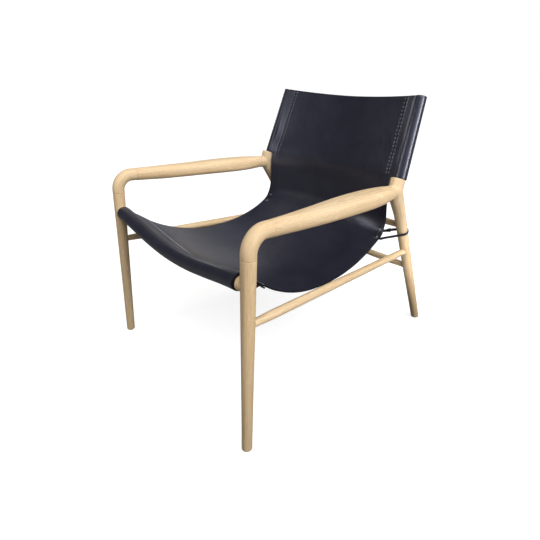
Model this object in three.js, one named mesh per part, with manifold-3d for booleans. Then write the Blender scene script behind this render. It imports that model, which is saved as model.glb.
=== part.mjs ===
// Sling lounge chair: a turned oak frame that carries one sheet of thick black saddle leather.
// The leather is sewn into sleeves over the two raked back posts and round the curved front rail,
// and a flat leather lace ties each of its lower back corners to a rear leg.
// Millimetres, +Z up, floor at z = 0. The sitter faces -Y, and the sitter's left is +X.

import * as THREE from "three";
import { mergeVertices } from "three/addons/utils/BufferGeometryUtils.js";
import Module from "manifold-3d";

const wasm = await Module();
wasm.setup();

// Fits
const fitGap = 0.3; // between any two pieces that touch
const leatherGap = 0.5; // between the leather and the wood inside its sleeves
const cutOverrun = 6; // how far a cutting solid runs past the face that it cuts

// Centre lines of the side frames
const chairHeight = 779; // floor to the centre of each back post's top
const frontFootSpread = 684; // between the centres of the front feet
const rearFootSpread = 588;
const kneeSpread = 644; // between the arms where they meet the front legs
const junctionSpread = 569; // between the arms where they meet the rear legs
const postTopSpread = 530;
const kneeHeight = 556; // arm centre line above the floor at the front
const junctionHeight = 528; // and at the back
const kneeSetBack = 38; // knee behind the front foot
const armReach = 574; // junction behind the knee
const rearLegRake = 242.25; // rear foot behind the junction
const postLean = 88; // post top behind the junction

// Legs
const frontFootDiameter = 26.5;
const frontLegDiameter = 36.5; // at the knee
const frontTaperPower = 1.15;
const rearFootDiameter = 26.5;
const rearLegDiameter = 35.5; // at the junction
const footChamfer = 1.5;
const glideThickness = 2.5;
const glideDiameter = 19;
const glidePinDiameter = 4;
const glidePinLength = 14;

// Knee blocks
const kneeRadius = 44; // bend of the centre line
const kneeBlockLeg = 52; // from the knee down to the joint with the leg
const kneeBlockArm = 57; // from the knee back to the joint with the arm

// Armrests
const armWidth = 70; // widest place
const armThickness = 44;
const armJointSetBack = 43; // joint with the rear leg, in front of the junction
const armSquareness = 2.9; // exponent of the widest section

// Rear leg heads
const headHeight = 36; // shoulder above the junction
const headDepth = 54; // front to back at the shoulder
const headWidth = 38;
const headFade = 140; // length over which the leg grows into the head
const headLead = 9; // head ahead of the leg's centre line
const headRound = 3;
const headBend = 45; // bend of the centre line from leg to post

// Back posts
const postDiameter = 30; // above the shoulder
const postTopDiameter = 24;
const postTopRound = 4;
const postTenonDiameter = 20;
const postTenonLength = 44;

// Front rail
const railDrop = 112; // its ends below the knees
const railDip = 34; // middle below the ends
const railDipPower = 1.6;
const railDiameter = 35;
const railBossDiameter = 38; // boss on the leg that the rail shoulders against
const railBossLength = 9;
const railBossRound = 3;
const railTenonDiameter = 20;
const railTenonLength = 30;

// Stretchers and rear rails
const stretcherFrontHeight = 351;
const stretcherRearHeight = 315;
const stretcherDiameter = 22.5;
const stretcherEndDiameter = 19;
const rearRailLowerHeight = 250;
const rearRailUpperHeight = 413;
const rearRailDiameter = 22;
const rearRailEndDiameter = 19;
const rungTenonDiameter = 14;
const rungTenonLength = 18;
const rungTaperLength = 60;

// Dowels
const dowelDiameter = 8;
const dowelLength = 36;
const dowelSpacing = 16;

// Leather
const leatherThickness = 3.5;
const slingFrontWidth = 600;
const slingDrop = 114; // lowest place of the side edge below the front rail
const sleeveSeam = 53; // end of its rear layer, inward of the post
const sleeveHollow = 33; // where its two layers meet
const sleeveTopDrop = 2; // leather below the post top
const slingBow = 45; // middle of the back behind the line between the posts
const sagPower = 1.15;
const hemLength = 80; // lower layer behind the centre of the front rail
const hemHollow = 60; // where the two layers meet
const stitchInset = 5; // from the edge of a sewn layer
const stitchWidth = 2.4;

// Eyelets and laces
const eyeletInset = 14; // from the side edge
const eyeletSpacing = 20;
const eyeletBore = 6;
const eyeletBarrel = 7.4;
const eyeletFlange = 11;
const eyeletFlangeThickness = 0.9;
const laceWidth = 7.5; // where it lies on the leg
const laceThickness = 2.4;
const laceRound = 4.4; // where it is squeezed through an eyelet
const laceSqueezeShare = 0.7; // its thickness there, of that width
const laceHeight = 391;
const laceKnot = 9;
const laceKnotFlatShare = 0.8;
const laceKnotLength = 11;

// Facets
const woodSides = 20;
const rungSides = 16;
const pegSides = 12;
const eyeletSides = 8;
const laceSides = 6;
const rollSteps = 8;
const sleeveSteps = 6;
const laceSteps = 9;

const point = (x, y, z) => new THREE.Vector3(x, y, z);
const lateralAxis = point(1, 0, 0);
const upAxis = point(0, 0, 1);
const mix = THREE.MathUtils.lerp;

// Smooth step from 0 to 1
function ease(share) {
  const t = THREE.MathUtils.clamp(share, 0, 1);
  return t * t * (3 - 2 * t);
}

// Values of a table's columns at a place given by its first column
function tableAt(table, place) {
  let next = table.findIndex((row) => row[0] >= place);
  if (next < 0) next = table.length - 1;
  if (next === 0) return table[0].slice(1);
  const [a, b] = [table[next - 1], table[next]];
  const share = THREE.MathUtils.clamp((place - a[0]) / (b[0] - a[0]), 0, 1);
  return a.slice(1).map((value, i) => mix(value, b[i + 1], share));
}

// Corner points of the left side frame, on the centre lines
const footSpan = kneeSetBack + armReach + rearLegRake;
const frontFoot = point(frontFootSpread / 2, -footSpan / 2, 0);
const knee = point(kneeSpread / 2, frontFoot.y + kneeSetBack, kneeHeight);
const junction = point(junctionSpread / 2, knee.y + armReach, junctionHeight);
const rearFoot = point(rearFootSpread / 2, junction.y + rearLegRake, 0);
const postTop = point(postTopSpread / 2, junction.y + postLean, chairHeight);

const toward = (from, to) => to.clone().sub(from).normalize();
const along = (from, to, distance) => from.clone().addScaledVector(toward(from, to), distance);
const atHeight = (from, to, height) =>
  from.clone().lerp(to, (height - from.z) / (to.z - from.z));

// A solid from merged triangles
function solidOf(geometry) {
  const bare = geometry.index ? geometry.toNonIndexed() : geometry.clone();
  bare.deleteAttribute("normal");
  bare.deleteAttribute("uv");
  const merged = mergeVertices(bare, 1e-4);
  return new wasm.Manifold(
    new wasm.Mesh({
      numProp: 3,
      vertProperties: merged.attributes.position.array,
      triVerts: new Uint32Array(merged.index.array),
    }),
  );
}

// The triangles of a solid, as a geometry for a mesh
function geometryOf(solid) {
  const mesh = solid.getMesh();
  const geometry = new THREE.BufferGeometry();
  geometry.setAttribute("position", new THREE.BufferAttribute(mesh.vertProperties, 3));
  geometry.setIndex(new THREE.BufferAttribute(mesh.triVerts, 1));
  const faceted = geometry.toNonIndexed();
  faceted.computeVertexNormals();
  return faceted;
}

// A solid skinned over rings of points, with flat ends, or closed into a loop
function loft(rings, { looped = false } = {}) {
  const sides = rings[0].length;
  const positions = rings.flat().flatMap((p) => [p.x, p.y, p.z]);
  const triangles = [];
  const spans = looped ? rings.length : rings.length - 1;
  for (let r = 0; r < spans; r++) {
    const next = (r + 1) % rings.length;
    for (let i = 0; i < sides; i++) {
      const j = (i + 1) % sides;
      const [a, b] = [r * sides + i, r * sides + j];
      const [c, d] = [next * sides + i, next * sides + j];
      triangles.push(a, b, d, a, d, c);
    }
  }
  if (!looped) {
    const last = (rings.length - 1) * sides;
    for (let i = 1; i + 1 < sides; i++) {
      triangles.push(0, i + 1, i);
      triangles.push(last, last + i, last + i + 1);
    }
  }
  const geometry = new THREE.BufferGeometry();
  geometry.setAttribute("position", new THREE.Float32BufferAttribute(positions, 3));
  geometry.setIndex(triangles);
  return solidOf(geometry);
}

// Two axes square to a direction of travel, so that first x second = travel
function sectionAxes(travel, lateral = lateralAxis) {
  const aligned = Math.abs(lateral.dot(travel)) > 0.9;
  const guide = aligned ? upAxis : lateral;
  const first = guide.clone().addScaledVector(travel, -guide.dot(travel)).normalize();
  return [first, travel.clone().cross(first)];
}

// A ring of points: a circle, an ellipse, or a squarer oval for a higher exponent
function ring(centre, travel, halfWidth, halfDepth, options = {}) {
  const { exponent = 2, sides = woodSides, lateral = lateralAxis } = options;
  const [first, second] = sectionAxes(travel, lateral);
  const power = 2 / exponent;
  const bulge = (value) => Math.sign(value) * Math.abs(value) ** power;
  return Array.from({ length: sides }, (_, i) => {
    const angle = (2 * Math.PI * i) / sides;
    return centre
      .clone()
      .addScaledVector(first, halfWidth * bulge(Math.cos(angle)))
      .addScaledVector(second, halfDepth * bulge(Math.sin(angle)));
  });
}

// Slides a ring's points along the member until they all lie at one height
const cutLevel = (points, travel, height) =>
  points.map((p) => p.clone().addScaledVector(travel, (height - p.z) / travel.z));

// A round bar along a straight line; each stop is [distance, diameter]
function roundBar(from, to, stops, sides = woodSides) {
  const travel = toward(from, to);
  return loft(
    stops.map(([distance, diameter]) =>
      ring(along(from, to, distance), travel, diameter / 2, diameter / 2, { sides }),
    ),
  );
}

// Stations along two straight lines and the arc that rounds their corner
function bentPath(start, corner, end, radius, arcSteps) {
  const [before, after] = [toward(start, corner), toward(corner, end)];
  const turn = before.angleTo(after);
  const axis = before.clone().cross(after).normalize();
  const tangent = radius * Math.tan(turn / 2);
  const inward = axis.clone().cross(before);
  const arcStart = corner.clone().addScaledVector(before, -tangent);
  const centre = arcStart.clone().addScaledVector(inward, radius);
  const straight = start.distanceTo(arcStart);
  const stations = [];
  for (let i = 0; i <= arcSteps; i++) {
    const angle = (turn * i) / arcSteps;
    stations.push({
      place: centre.clone().addScaledVector(inward.clone().applyAxisAngle(axis, angle), -radius),
      travel: before.clone().applyAxisAngle(axis, angle),
      distance: straight + radius * angle,
    });
  }
  const total = straight + radius * turn + end.distanceTo(corner) - tangent;
  const at = (distance) => {
    if (distance <= straight) {
      return { place: along(start, corner, distance), travel: before, distance };
    }
    return { place: along(end, corner, total - distance), travel: after, distance };
  };
  return { stations, straight, arcEnd: straight + radius * turn, total, at };
}

// Front leg
const frontLegLength = frontFoot.distanceTo(knee);
const legTravel = toward(frontFoot, knee);

function frontLegDiameterAt(distance) {
  const share = THREE.MathUtils.clamp(distance / frontLegLength, 0, 1);
  return mix(frontFootDiameter, frontLegDiameter, share ** frontTaperPower);
}

const frontLegRadiusAt = (distance) => frontLegDiameterAt(distance) / 2;
const railHeight = kneeHeight - railDrop;
const railEnd = atHeight(frontFoot, knee, railHeight);
const legDiameterAtRail = frontLegDiameterAt(frontFoot.distanceTo(railEnd));
const railBossFace = railEnd.x - legDiameterAtRail / 2 - railBossLength;
const stretcherFront = atHeight(frontFoot, knee, stretcherFrontHeight);
const stretcherRear = atHeight(rearFoot, junction, stretcherRearHeight);

const footBottom = glideThickness + fitGap;

function glideHole(foot) {
  const reach = glidePinLength + fitGap;
  return roundBar(
    point(foot.x, foot.y, -cutOverrun),
    point(foot.x, foot.y, reach),
    [
      [0, glidePinDiameter + 2 * fitGap],
      [glideThickness + reach + cutOverrun, glidePinDiameter + 2 * fitGap],
    ],
    pegSides,
  );
}

// The two level rings of a foot's chamfer
function footRings(foot, travel, diameter) {
  return [-footChamfer, 0].map((growth) => {
    const radius = diameter / 2 + growth;
    return cutLevel(ring(foot, travel, radius, radius), travel, footBottom + footChamfer + growth);
  });
}

const frontLegTop = frontLegLength - kneeBlockLeg - fitGap / 2;

// Grown by a clearance, the leg's shape copes the rungs that meet it
function frontLegShape(clearance) {
  const stopShares = [0.05, 0.25, 0.5, 0.75, 1];
  const rings = footRings(frontFoot, legTravel, frontFootDiameter);
  for (const share of stopShares) {
    const distance = mix(footBottom, frontLegTop, share);
    const radius = frontLegRadiusAt(distance) + clearance;
    rings.push(ring(along(frontFoot, knee, distance), legTravel, radius, radius));
  }
  return loft(rings);
}

// Boss on the inside of the front leg, with a rounded rim, and the mortise for the rail's tenon
function railBoss() {
  const reach = railEnd.x - railBossFace;
  return roundBar(railEnd, point(railBossFace, railEnd.y, railEnd.z), [
    [0, railBossDiameter - 2 * railBossRound],
    [reach - railBossLength, railBossDiameter - railBossRound],
    [reach - railBossRound, railBossDiameter],
    [reach - fitGap, railBossDiameter - railBossRound / 2],
  ]);
}

function railMortise() {
  const bottom = point(railBossFace + railTenonLength + fitGap, railEnd.y, railEnd.z);
  return roundBar(
    bottom,
    point(0, railEnd.y, railEnd.z),
    [
      [0, railTenonDiameter + 2 * fitGap],
      [railTenonLength + cutOverrun, railTenonDiameter + 2 * fitGap],
    ],
    rungSides,
  );
}

function frontLeg() {
  let leg = frontLegShape(0).add(railBoss()).subtract(railMortise());
  leg = leg.subtract(rungMortise(stretcherFront, stretcherRear, stretcherFrontRadius));
  leg = leg.subtract(glideHole(frontFoot));
  for (const hole of dowelHoles(legKneeJoint)) leg = leg.subtract(hole);
  return leg;
}

// A rung's end goes into a leg from the leg's surface inward
const stretcherFrontRadius = frontLegRadiusAt(frontFoot.distanceTo(stretcherFront));

function rearLegRadiusAt(distance) {
  const share = THREE.MathUtils.clamp(distance / rearFoot.distanceTo(junction), 0, 1);
  return mix(rearFootDiameter, rearLegDiameter, share) / 2;
}
const stretcherRearRadius = rearLegRadiusAt(rearFoot.distanceTo(stretcherRear));

// The leg's centre is at the first point; the rung comes from the second
function rungMortise(centre, other, legRadius) {
  const bottom = legRadius - rungTenonLength - fitGap;
  return roundBar(
    along(centre, other, bottom),
    other,
    [
      [0, rungTenonDiameter + 2 * fitGap],
      [rungTenonLength + cutOverrun, rungTenonDiameter + 2 * fitGap],
    ],
    pegSides,
  );
}

// A turned rung between two legs: its ends are coped to the legs and have round tenons
function rung(from, to, radii, legs, diameter, endDiameter) {
  const length = from.distanceTo(to);
  let bar = roundBar(
    from,
    to,
    [
      [0, endDiameter],
      [radii[0], endDiameter],
      [radii[0] + rungTaperLength, diameter],
      [length - radii[1] - rungTaperLength, mix(diameter, endDiameter, 0.5)],
      [length - radii[1], endDiameter],
      [length, endDiameter],
    ],
    rungSides,
  );
  for (const leg of legs) bar = bar.subtract(leg);
  const tenon = (start, end, radius) =>
    roundBar(
      start,
      end,
      [
        [radius - rungTenonLength, rungTenonDiameter],
        [radius + rungTenonLength, rungTenonDiameter],
      ],
      pegSides,
    );
  return bar.add(tenon(from, to, radii[0])).add(tenon(to, from, radii[1]));
}

// Joints that hold a pair of dowels: a place, the direction across it, and the pair's direction
const armTravel = toward(knee, junction);
const armLength = knee.distanceTo(junction);
const armJoint = armLength - armJointSetBack;
const legKneeJoint = {
  place: along(knee, frontFoot, kneeBlockLeg),
  travel: legTravel,
  spread: lateralAxis,
};
const kneeArmJoint = {
  place: along(knee, junction, kneeBlockArm),
  travel: armTravel,
  spread: lateralAxis,
};
const armHeadJoint = {
  place: along(knee, junction, armJoint),
  travel: armTravel,
  spread: upAxis,
};

function dowelLines({ place, travel, spread }) {
  return [-0.5, 0.5].map((side) => {
    const centre = place.clone().addScaledVector(spread, side * dowelSpacing);
    return [
      centre.clone().addScaledVector(travel, -dowelLength / 2),
      centre.clone().addScaledVector(travel, dowelLength / 2),
    ];
  });
}

const dowelHoles = (joint) =>
  dowelLines(joint).map(([from, to]) =>
    roundBar(
      along(from, to, -2 * fitGap),
      to,
      [
        [0, dowelDiameter + 2 * fitGap],
        [dowelLength + 4 * fitGap, dowelDiameter + 2 * fitGap],
      ],
      pegSides,
    ),
  );

function dowel([from, to]) {
  const chamfer = dowelDiameter / 8;
  return roundBar(
    from,
    to,
    [
      [0, dowelDiameter - 2 * chamfer],
      [chamfer, dowelDiameter],
      [dowelLength - chamfer, dowelDiameter],
      [dowelLength, dowelDiameter - 2 * chamfer],
    ],
    pegSides,
  );
}

// Knee block: a quarter bend between the leg and the arm
function kneeBlock() {
  const start = along(knee, frontFoot, kneeBlockLeg - fitGap / 2);
  const end = along(knee, junction, kneeBlockArm - fitGap / 2);
  const path = bentPath(start, knee, end, kneeRadius, 8);
  const stations = [path.at(0), ...path.stations, path.at(path.total)];
  const [armStart] = armSectionAt(kneeBlockArm);
  const radiusAt = (share) => mix(frontLegRadiusAt(frontLegTop), armStart, share);
  let block = loft(
    stations.map(({ place, travel, distance }) => {
      const radius = radiusAt(distance / path.total);
      return ring(place, travel, radius, radius);
    }),
  );
  for (const joint of [legKneeJoint, kneeArmJoint]) {
    for (const hole of dowelHoles(joint)) block = block.subtract(hole);
  }
  return block;
}

// Arm sections along the centre line from the knee:
// distance, half width, height above and depth below the line, as shares
const armTableShares = [
  [0.0, 0.52, 0.83, 0.83, 0],
  [0.1, 0.53, 0.84, 0.88, 0],
  [0.18, 0.56, 0.87, 0.94, 0.15],
  [0.26, 0.65, 0.91, 1.0, 0.4],
  [0.35, 0.79, 0.93, 0.99, 0.7],
  [0.44, 0.92, 0.97, 0.96, 0.95],
  [0.53, 0.99, 1.06, 0.95, 1],
  [0.62, 1.0, 1.13, 0.97, 1],
  [0.7, 0.99, 1.15, 0.97, 1],
  [0.77, 0.95, 1.15, 0.95, 0.95],
  [0.83, 0.87, 1.13, 0.9, 0.8],
  [0.88, 0.76, 1.09, 0.84, 0.55],
  [0.92, 0.63, 1.03, 0.77, 0.35],
];
// The flare by which the arm runs into the head, by distance ahead of the junction
const flareTableShares = [
  [0.6, 0.94, 1.03, 0.82],
  [0.42, 0.96, 1.12, 0.85],
  [0.3, 0.98, 1.28, 0.95],
  [0.18, 1.0, 1.4, 1.2],
  [0.04, 1.0, 1.48, 1.65],
];
const roundExponent = 2;

const armTable = [
  ...armTableShares.map(([distance, width, up, down, square]) => [
    distance * armLength,
    (width * armWidth) / 2,
    (up * armThickness) / 2,
    (down * armThickness) / 2,
    mix(roundExponent, armSquareness, square),
  ]),
  ...flareTableShares.map(([ahead, width, up, down]) => [
    armLength - ahead * headDepth,
    (width * headWidth) / 2,
    (up * armThickness) / 2,
    (down * armThickness) / 2,
    roundExponent,
  ]),
];

const armSectionAt = (distance) => tableAt(armTable, distance);

// The part of the arm's shape between two distances from the knee
function armStretch(from, to) {
  const between = armTable.map(([distance]) => distance).filter((d) => d > from && d < to);
  return loft(
    [from, ...between, to].map((distance) => {
      const [halfWidth, up, down, exponent] = armSectionAt(distance);
      const [, second] = sectionAxes(armTravel);
      const centre = along(knee, junction, distance).addScaledVector(second, (down - up) / 2);
      return ring(centre, armTravel, halfWidth, (up + down) / 2, { exponent });
    }),
  );
}

function armrest() {
  let arm = armStretch(kneeBlockArm + fitGap / 2, armJoint - fitGap / 2);
  for (const joint of [kneeArmJoint, armHeadJoint]) {
    for (const hole of dowelHoles(joint)) arm = arm.subtract(hole);
  }
  return arm;
}

// Rear leg with the head that carries the arm and the post
const postTravel = toward(junction, postTop);
const shoulder = along(junction, postTop, headHeight);
const rearPath = bentPath(rearFoot, junction, shoulder, headBend, 5);

// Grown by a clearance, the same shape cuts what passes it
function rearLegShape(clearance) {
  const { total, straight, arcEnd } = rearPath;
  const [, depthAxis] = sectionAxes(postTravel);
  const shapeAt = ({ place, travel, distance }, inset) => {
    const grown = ease((distance - total + headFade) / headFade);
    const legRadius = rearLegRadiusAt(distance);
    const halfWidth = mix(legRadius, headWidth / 2, grown) + clearance - inset;
    const halfDepth = mix(legRadius, headDepth / 2, grown) + clearance - inset;
    const centre = place.clone().addScaledVector(depthAxis, -headLead * grown);
    return ring(centre, travel, halfWidth, halfDepth);
  };
  const rings = footRings(rearFoot, rearPath.at(0).travel, rearFootDiameter);
  const legShares = [0.05, 0.35, 0.7, 0.86];
  for (const share of legShares) rings.push(shapeAt(rearPath.at(share * straight), 0));
  for (const station of rearPath.stations) rings.push(shapeAt(station, 0));
  const rise = total - headRound + clearance;
  rings.push(shapeAt(rearPath.at(mix(arcEnd, rise, 0.5)), 0));
  rings.push(shapeAt(rearPath.at(rise), 0));
  rings.push(shapeAt(rearPath.at(total + clearance), headRound));
  return loft(rings);
}

const rearRailHeights = { lower: rearRailLowerHeight, upper: rearRailUpperHeight };

function rearLeg() {
  let leg = rearLegShape(0).add(armStretch(armJoint + fitGap / 2, armLength));
  leg = leg.subtract(
    roundBar(
      along(shoulder, junction, postTenonLength + fitGap),
      postTop,
      [
        [0, postTenonDiameter + 2 * fitGap],
        [postTenonLength + cutOverrun, postTenonDiameter + 2 * fitGap],
      ],
      rungSides,
    ),
  );
  leg = leg.subtract(rungMortise(stretcherRear, stretcherFront, stretcherRearRadius));
  for (const height of Object.values(rearRailHeights)) {
    const centre = atHeight(rearFoot, junction, height);
    const other = point(-centre.x, centre.y, centre.z);
    leg = leg.subtract(rungMortise(centre, other, rearLegRadiusAt(rearFoot.distanceTo(centre))));
  }
  leg = leg.subtract(glideHole(rearFoot));
  for (const hole of dowelHoles(armHeadJoint)) leg = leg.subtract(hole);
  return leg;
}

// Back post: a tapered round with a tenon in the head
const postLength = shoulder.distanceTo(postTop);

function backPost() {
  const start = along(shoulder, junction, postTenonLength);
  const foot = postTenonLength + fitGap;
  return roundBar(start, postTop, [
    [0, postTenonDiameter],
    [foot, postTenonDiameter],
    [foot + fitGap, postDiameter],
    [postTenonLength + postLength - postTopRound, postTopDiameter],
    [postTenonLength + postLength - postTopRound / 4, postTopDiameter - postTopRound],
    [postTenonLength + postLength, postTopDiameter - 2 * postTopRound],
  ]);
}

// Front rail: straight at its ends and dipping in the middle.
// Its rings and the leather's columns lie at the same shares of the leather's half width
const halfShares = [1, 0.82, 0.62, 0.42, 0.21];
const sideShares = [...halfShares, 0, ...halfShares.map((share) => -share).reverse()];
const railHalf = railBossFace;
const railShapeAt = (x) => Math.max(0, 1 - (x / railHalf) ** 2) ** railDipPower;
const railCentre = (x) => point(x, railEnd.y, railHeight - railDip * railShapeAt(x));

function railTravel(x) {
  const share = THREE.MathUtils.clamp(x / railHalf, -1, 1);
  const steepness = 2 * railDipPower * share * (1 - share ** 2) ** (railDipPower - 1);
  return point(-1, 0, (-railDip * steepness) / railHalf).normalize();
}

// A ring across the rail; its first axis points forward
const railRing = (x, diameter, sides) =>
  ring(railCentre(x), railTravel(x), diameter / 2, diameter / 2, {
    sides,
    lateral: point(0, -1, 0),
  });

function frontRail() {
  const tenonEnd = railHalf + railTenonLength;
  const shoulderEnd = railHalf - fitGap;
  const body = sideShares.map((share) => share * (slingFrontWidth / 2));
  const rings = [
    railRing(tenonEnd, railTenonDiameter, woodSides),
    railRing(railHalf, railTenonDiameter, woodSides),
    railRing(shoulderEnd, railDiameter, woodSides),
  ];
  for (const x of body) rings.push(railRing(x, railDiameter, woodSides));
  rings.push(railRing(-shoulderEnd, railDiameter, woodSides));
  rings.push(railRing(-railHalf, railTenonDiameter, woodSides));
  rings.push(railRing(-tenonEnd, railTenonDiameter, woodSides));
  return loft(rings);
}

// Leather sling
// Side edge from the front rail to the shoulder, and how far the middle hangs from it:
// reach, drop, half width, middle sag, middle bow, and how far the rail's curve has faded
const seatTableShares = [
  [0.082, 0.14, 1.0, 1.0, 0.0, 0.0],
  [0.141, 0.387, 1.0, 0.94, 0.0, 0.3],
  [0.225, 0.631, 1.0, 0.89, 0.0, 0.7],
  [0.314, 0.811, 0.99, 0.86, 0.0, 1.0],
  [0.432, 0.952, 0.969, 0.85, 0.0, 1.0],
  [0.563, 1.0, 0.95, 0.85, 0.0, 1.0],
  [0.693, 0.955, 0.931, 0.83, 0.02, 1.0],
  [0.829, 0.784, 0.912, 0.76, 0.13, 1.0],
];
const cornerTableShares = [
  [0.928, 0.55, 0.897, 0.62, 0.34, 1.0],
  [0.963, 0.405, 0.893, 0.45, 0.51, 1.0],
  [0.985, 0.234, 0.887, 0.3, 0.62, 1.0],
];
const backTableShares = [
  [0.996, 0.108, 0.885, 0.2, 0.7, 1.0],
  [1.0, -0.234, 0.873, 0.12, 0.82, 1.0],
  [1.002, -0.775, 0.865, 0.25, 0.92, 1.0],
];
const slingTableShares = [...seatTableShares, ...cornerTableShares, ...backTableShares];

const sleeveBottomRadius = postDiameter / 2 + leatherGap;
const sleeveTopRadius = postTopDiameter / 2 + leatherGap;
const rollRadius = railDiameter / 2 + leatherGap + leatherThickness / 2;
const sleeveEnd = postLength - sleeveTopDrop;
const layerPitch = leatherThickness + leatherGap;
const [postLateral, postDepth] = sectionAxes(postTravel);

// The radius of the leather's middle round a post, by distance above the shoulder
const sleeveRadiusAt = (distance) =>
  mix(sleeveBottomRadius, sleeveTopRadius, distance / postLength) + leatherThickness / 2;

// The middle of the leather in front of a post
const sleeveFront = (distance) =>
  along(shoulder, postTop, distance).addScaledVector(postDepth, -sleeveRadiusAt(distance));

const seatReach = sleeveFront(0).y - railEnd.y;

// The leather leaves the roll along a tangent that ends at the first row of the seat
const tailRun = seatTableShares[0][0] * seatReach;
const tailFall = seatTableShares[0][1] * slingDrop;
const tailSlope = Math.atan2(tailFall, tailRun) + Math.asin(rollRadius / Math.hypot(tailRun, tailFall));
const tailAxis = point(0, Math.cos(tailSlope), -Math.sin(tailSlope));
const tailNormal = point(0, Math.sin(tailSlope), Math.cos(tailSlope));
const tailLength = Math.sqrt(tailRun ** 2 + tailFall ** 2 - rollRadius ** 2);

// Each row of the sling holds its left edge, the middle's offset from it, and the blends
function seatRows() {
  const halfWidth = slingFrontWidth / 2;
  return slingTableShares.map(([reach, drop, width, sag, bow, faded]) => ({
    edge: point(width * halfWidth, railEnd.y + reach * seatReach, railHeight - drop * slingDrop),
    sag: sag * railDip,
    bow: bow * slingBow,
    faded,
  }));
}

// Rows of the back: one just under the shoulder, then those of the sleeves
const sleeveRowShares = [0, 0.5, 1];
const postRow = (edge) => ({
  edge,
  sag: -postDepth.z * slingBow,
  bow: postDepth.y * slingBow,
  faded: 1,
});

function underRow() {
  const edge = sleeveFront(-leatherThickness / 2);
  edge.x = (backTableShares.at(-1)[2] * slingFrontWidth) / 2;
  return postRow(edge);
}

const sleeveDistance = (share) => mix(fitGap, sleeveEnd, share);
const sleeveRows = () => sleeveRowShares.map((share) => postRow(sleeveFront(sleeveDistance(share))));

// A point in the middle of the leather; side runs from -1 at the right edge to 1 at the left
function slingPoint({ edge, sag, bow, faded }, side) {
  const railEdge = railShapeAt(edge.x);
  const railWeight = (railShapeAt(side * edge.x) - railEdge) / (1 - railEdge);
  const hungWeight = Math.max(0, Math.cos((side * Math.PI) / 2)) ** sagPower;
  const weight = mix(railWeight, hungWeight, faded);
  return point(side * edge.x, edge.y + bow * weight, edge.z - sag * weight);
}

// The corners of a line wrapped round a bar, from the tangent that comes from the front place
// to the tangent that goes to the back place. Places are [away from the tail, toward the back layer]
function wrapLine(radius, front, back, arcSteps) {
  const tangentAngle = ([x, y], side) =>
    Math.atan2(y, x) + side * Math.acos(Math.min(1, radius / Math.hypot(x, y)));
  const turned = (angle) => Math.atan2(Math.sin(angle), Math.cos(angle));
  const [from, to] = [turned(tangentAngle(front, 1)), turned(tangentAngle(back, -1))];
  const step = (to - from) / arcSteps;
  const reach = radius / Math.cos(step / 2);
  return Array.from({ length: arcSteps }, (_, i) => {
    const angle = from + (i + 0.5) * step;
    return [reach * Math.cos(angle), reach * Math.sin(angle)];
  });
}

const placedAt = ([x, y], centre, first, second) =>
  centre.clone().addScaledVector(first, x).addScaledVector(second, y);

// Places under the seat at one column, by distance behind the top of the rail
function underSeat(x, depth) {
  const [near, far] = seatRows()
    .slice(0, 2)
    .map((row) => slingPoint(row, x / row.edge.x));
  const seat = toward(near, far);
  const below = point(0, seat.z, -seat.y);
  const at = (distance) =>
    near
      .clone()
      .addScaledVector(seat, distance - tailLength)
      .addScaledVector(below, depth);
  return { at, below };
}

// Roll round the front rail at one column, from the end of the hem to the top of the rail
function rollColumn(x) {
  const forward = tailAxis.clone().negate();
  const under = tailNormal.clone().negate();
  const layer = underSeat(x, layerPitch);
  const [hollow, end] = [hemHollow, hemLength].map((distance) => {
    const place = layer.at(distance).sub(railCentre(x));
    return [place.dot(forward), place.dot(under)];
  });
  const line = wrapLine(rollRadius, [-tailLength, -rollRadius], hollow, rollSteps);
  line.push(hollow, end);
  return line.reverse().map((place) => placedAt(place, railCentre(x), forward, under));
}

// Sleeve round the left post at one row, from the front of the post to the seam
function sleeveRow(share) {
  const distance = sleeveDistance(share);
  const radius = sleeveRadiusAt(distance);
  const row = postRow(sleeveFront(distance));
  const centre = along(shoulder, postTop, distance);
  const behind = (inward) => {
    const place = slingPoint(row, 1 - inward / row.edge.x).sub(centre);
    return [place.dot(postLateral), place.dot(postDepth) + layerPitch];
  };
  const [hollow, seam] = [behind(sleeveHollow), behind(sleeveSeam)];
  const line = wrapLine(radius, [-radius, -radius], hollow, sleeveSteps);
  return [...line, hollow, seam].map((place) =>
    placedAt(place, centre, postLateral, postDepth),
  );
}

// A line of stitching that sews two layers: a bar between them along their seam
function stitching(places, depthAxes) {
  const last = places.length - 1;
  return loft(
    places.map((place, i) => {
      const travel = toward(places[Math.max(i - 1, 0)], places[Math.min(i + 1, last)]);
      return ring(place, travel, layerPitch / 2, stitchWidth / 2, { sides: 4, lateral: depthAxes[i] });
    }),
  );
}

function hemStitching() {
  const reach = slingFrontWidth / 2 - stitchInset;
  const seams = sideShares.map((share) => underSeat(share * reach, layerPitch / 2));
  return stitching(
    seams.map((seam) => seam.at(hemLength - stitchInset)),
    seams.map((seam) => seam.below),
  );
}

function sleeveStitching() {
  const places = [stitchInset, sleeveEnd / 2, sleeveEnd - stitchInset].map((distance) => {
    const row = postRow(sleeveFront(distance));
    const inward = sleeveSeam - stitchInset;
    return slingPoint(row, 1 - inward / row.edge.x).addScaledVector(postDepth, layerPitch / 2);
  });
  return stitching(places, places.map(() => postDepth));
}

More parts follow.
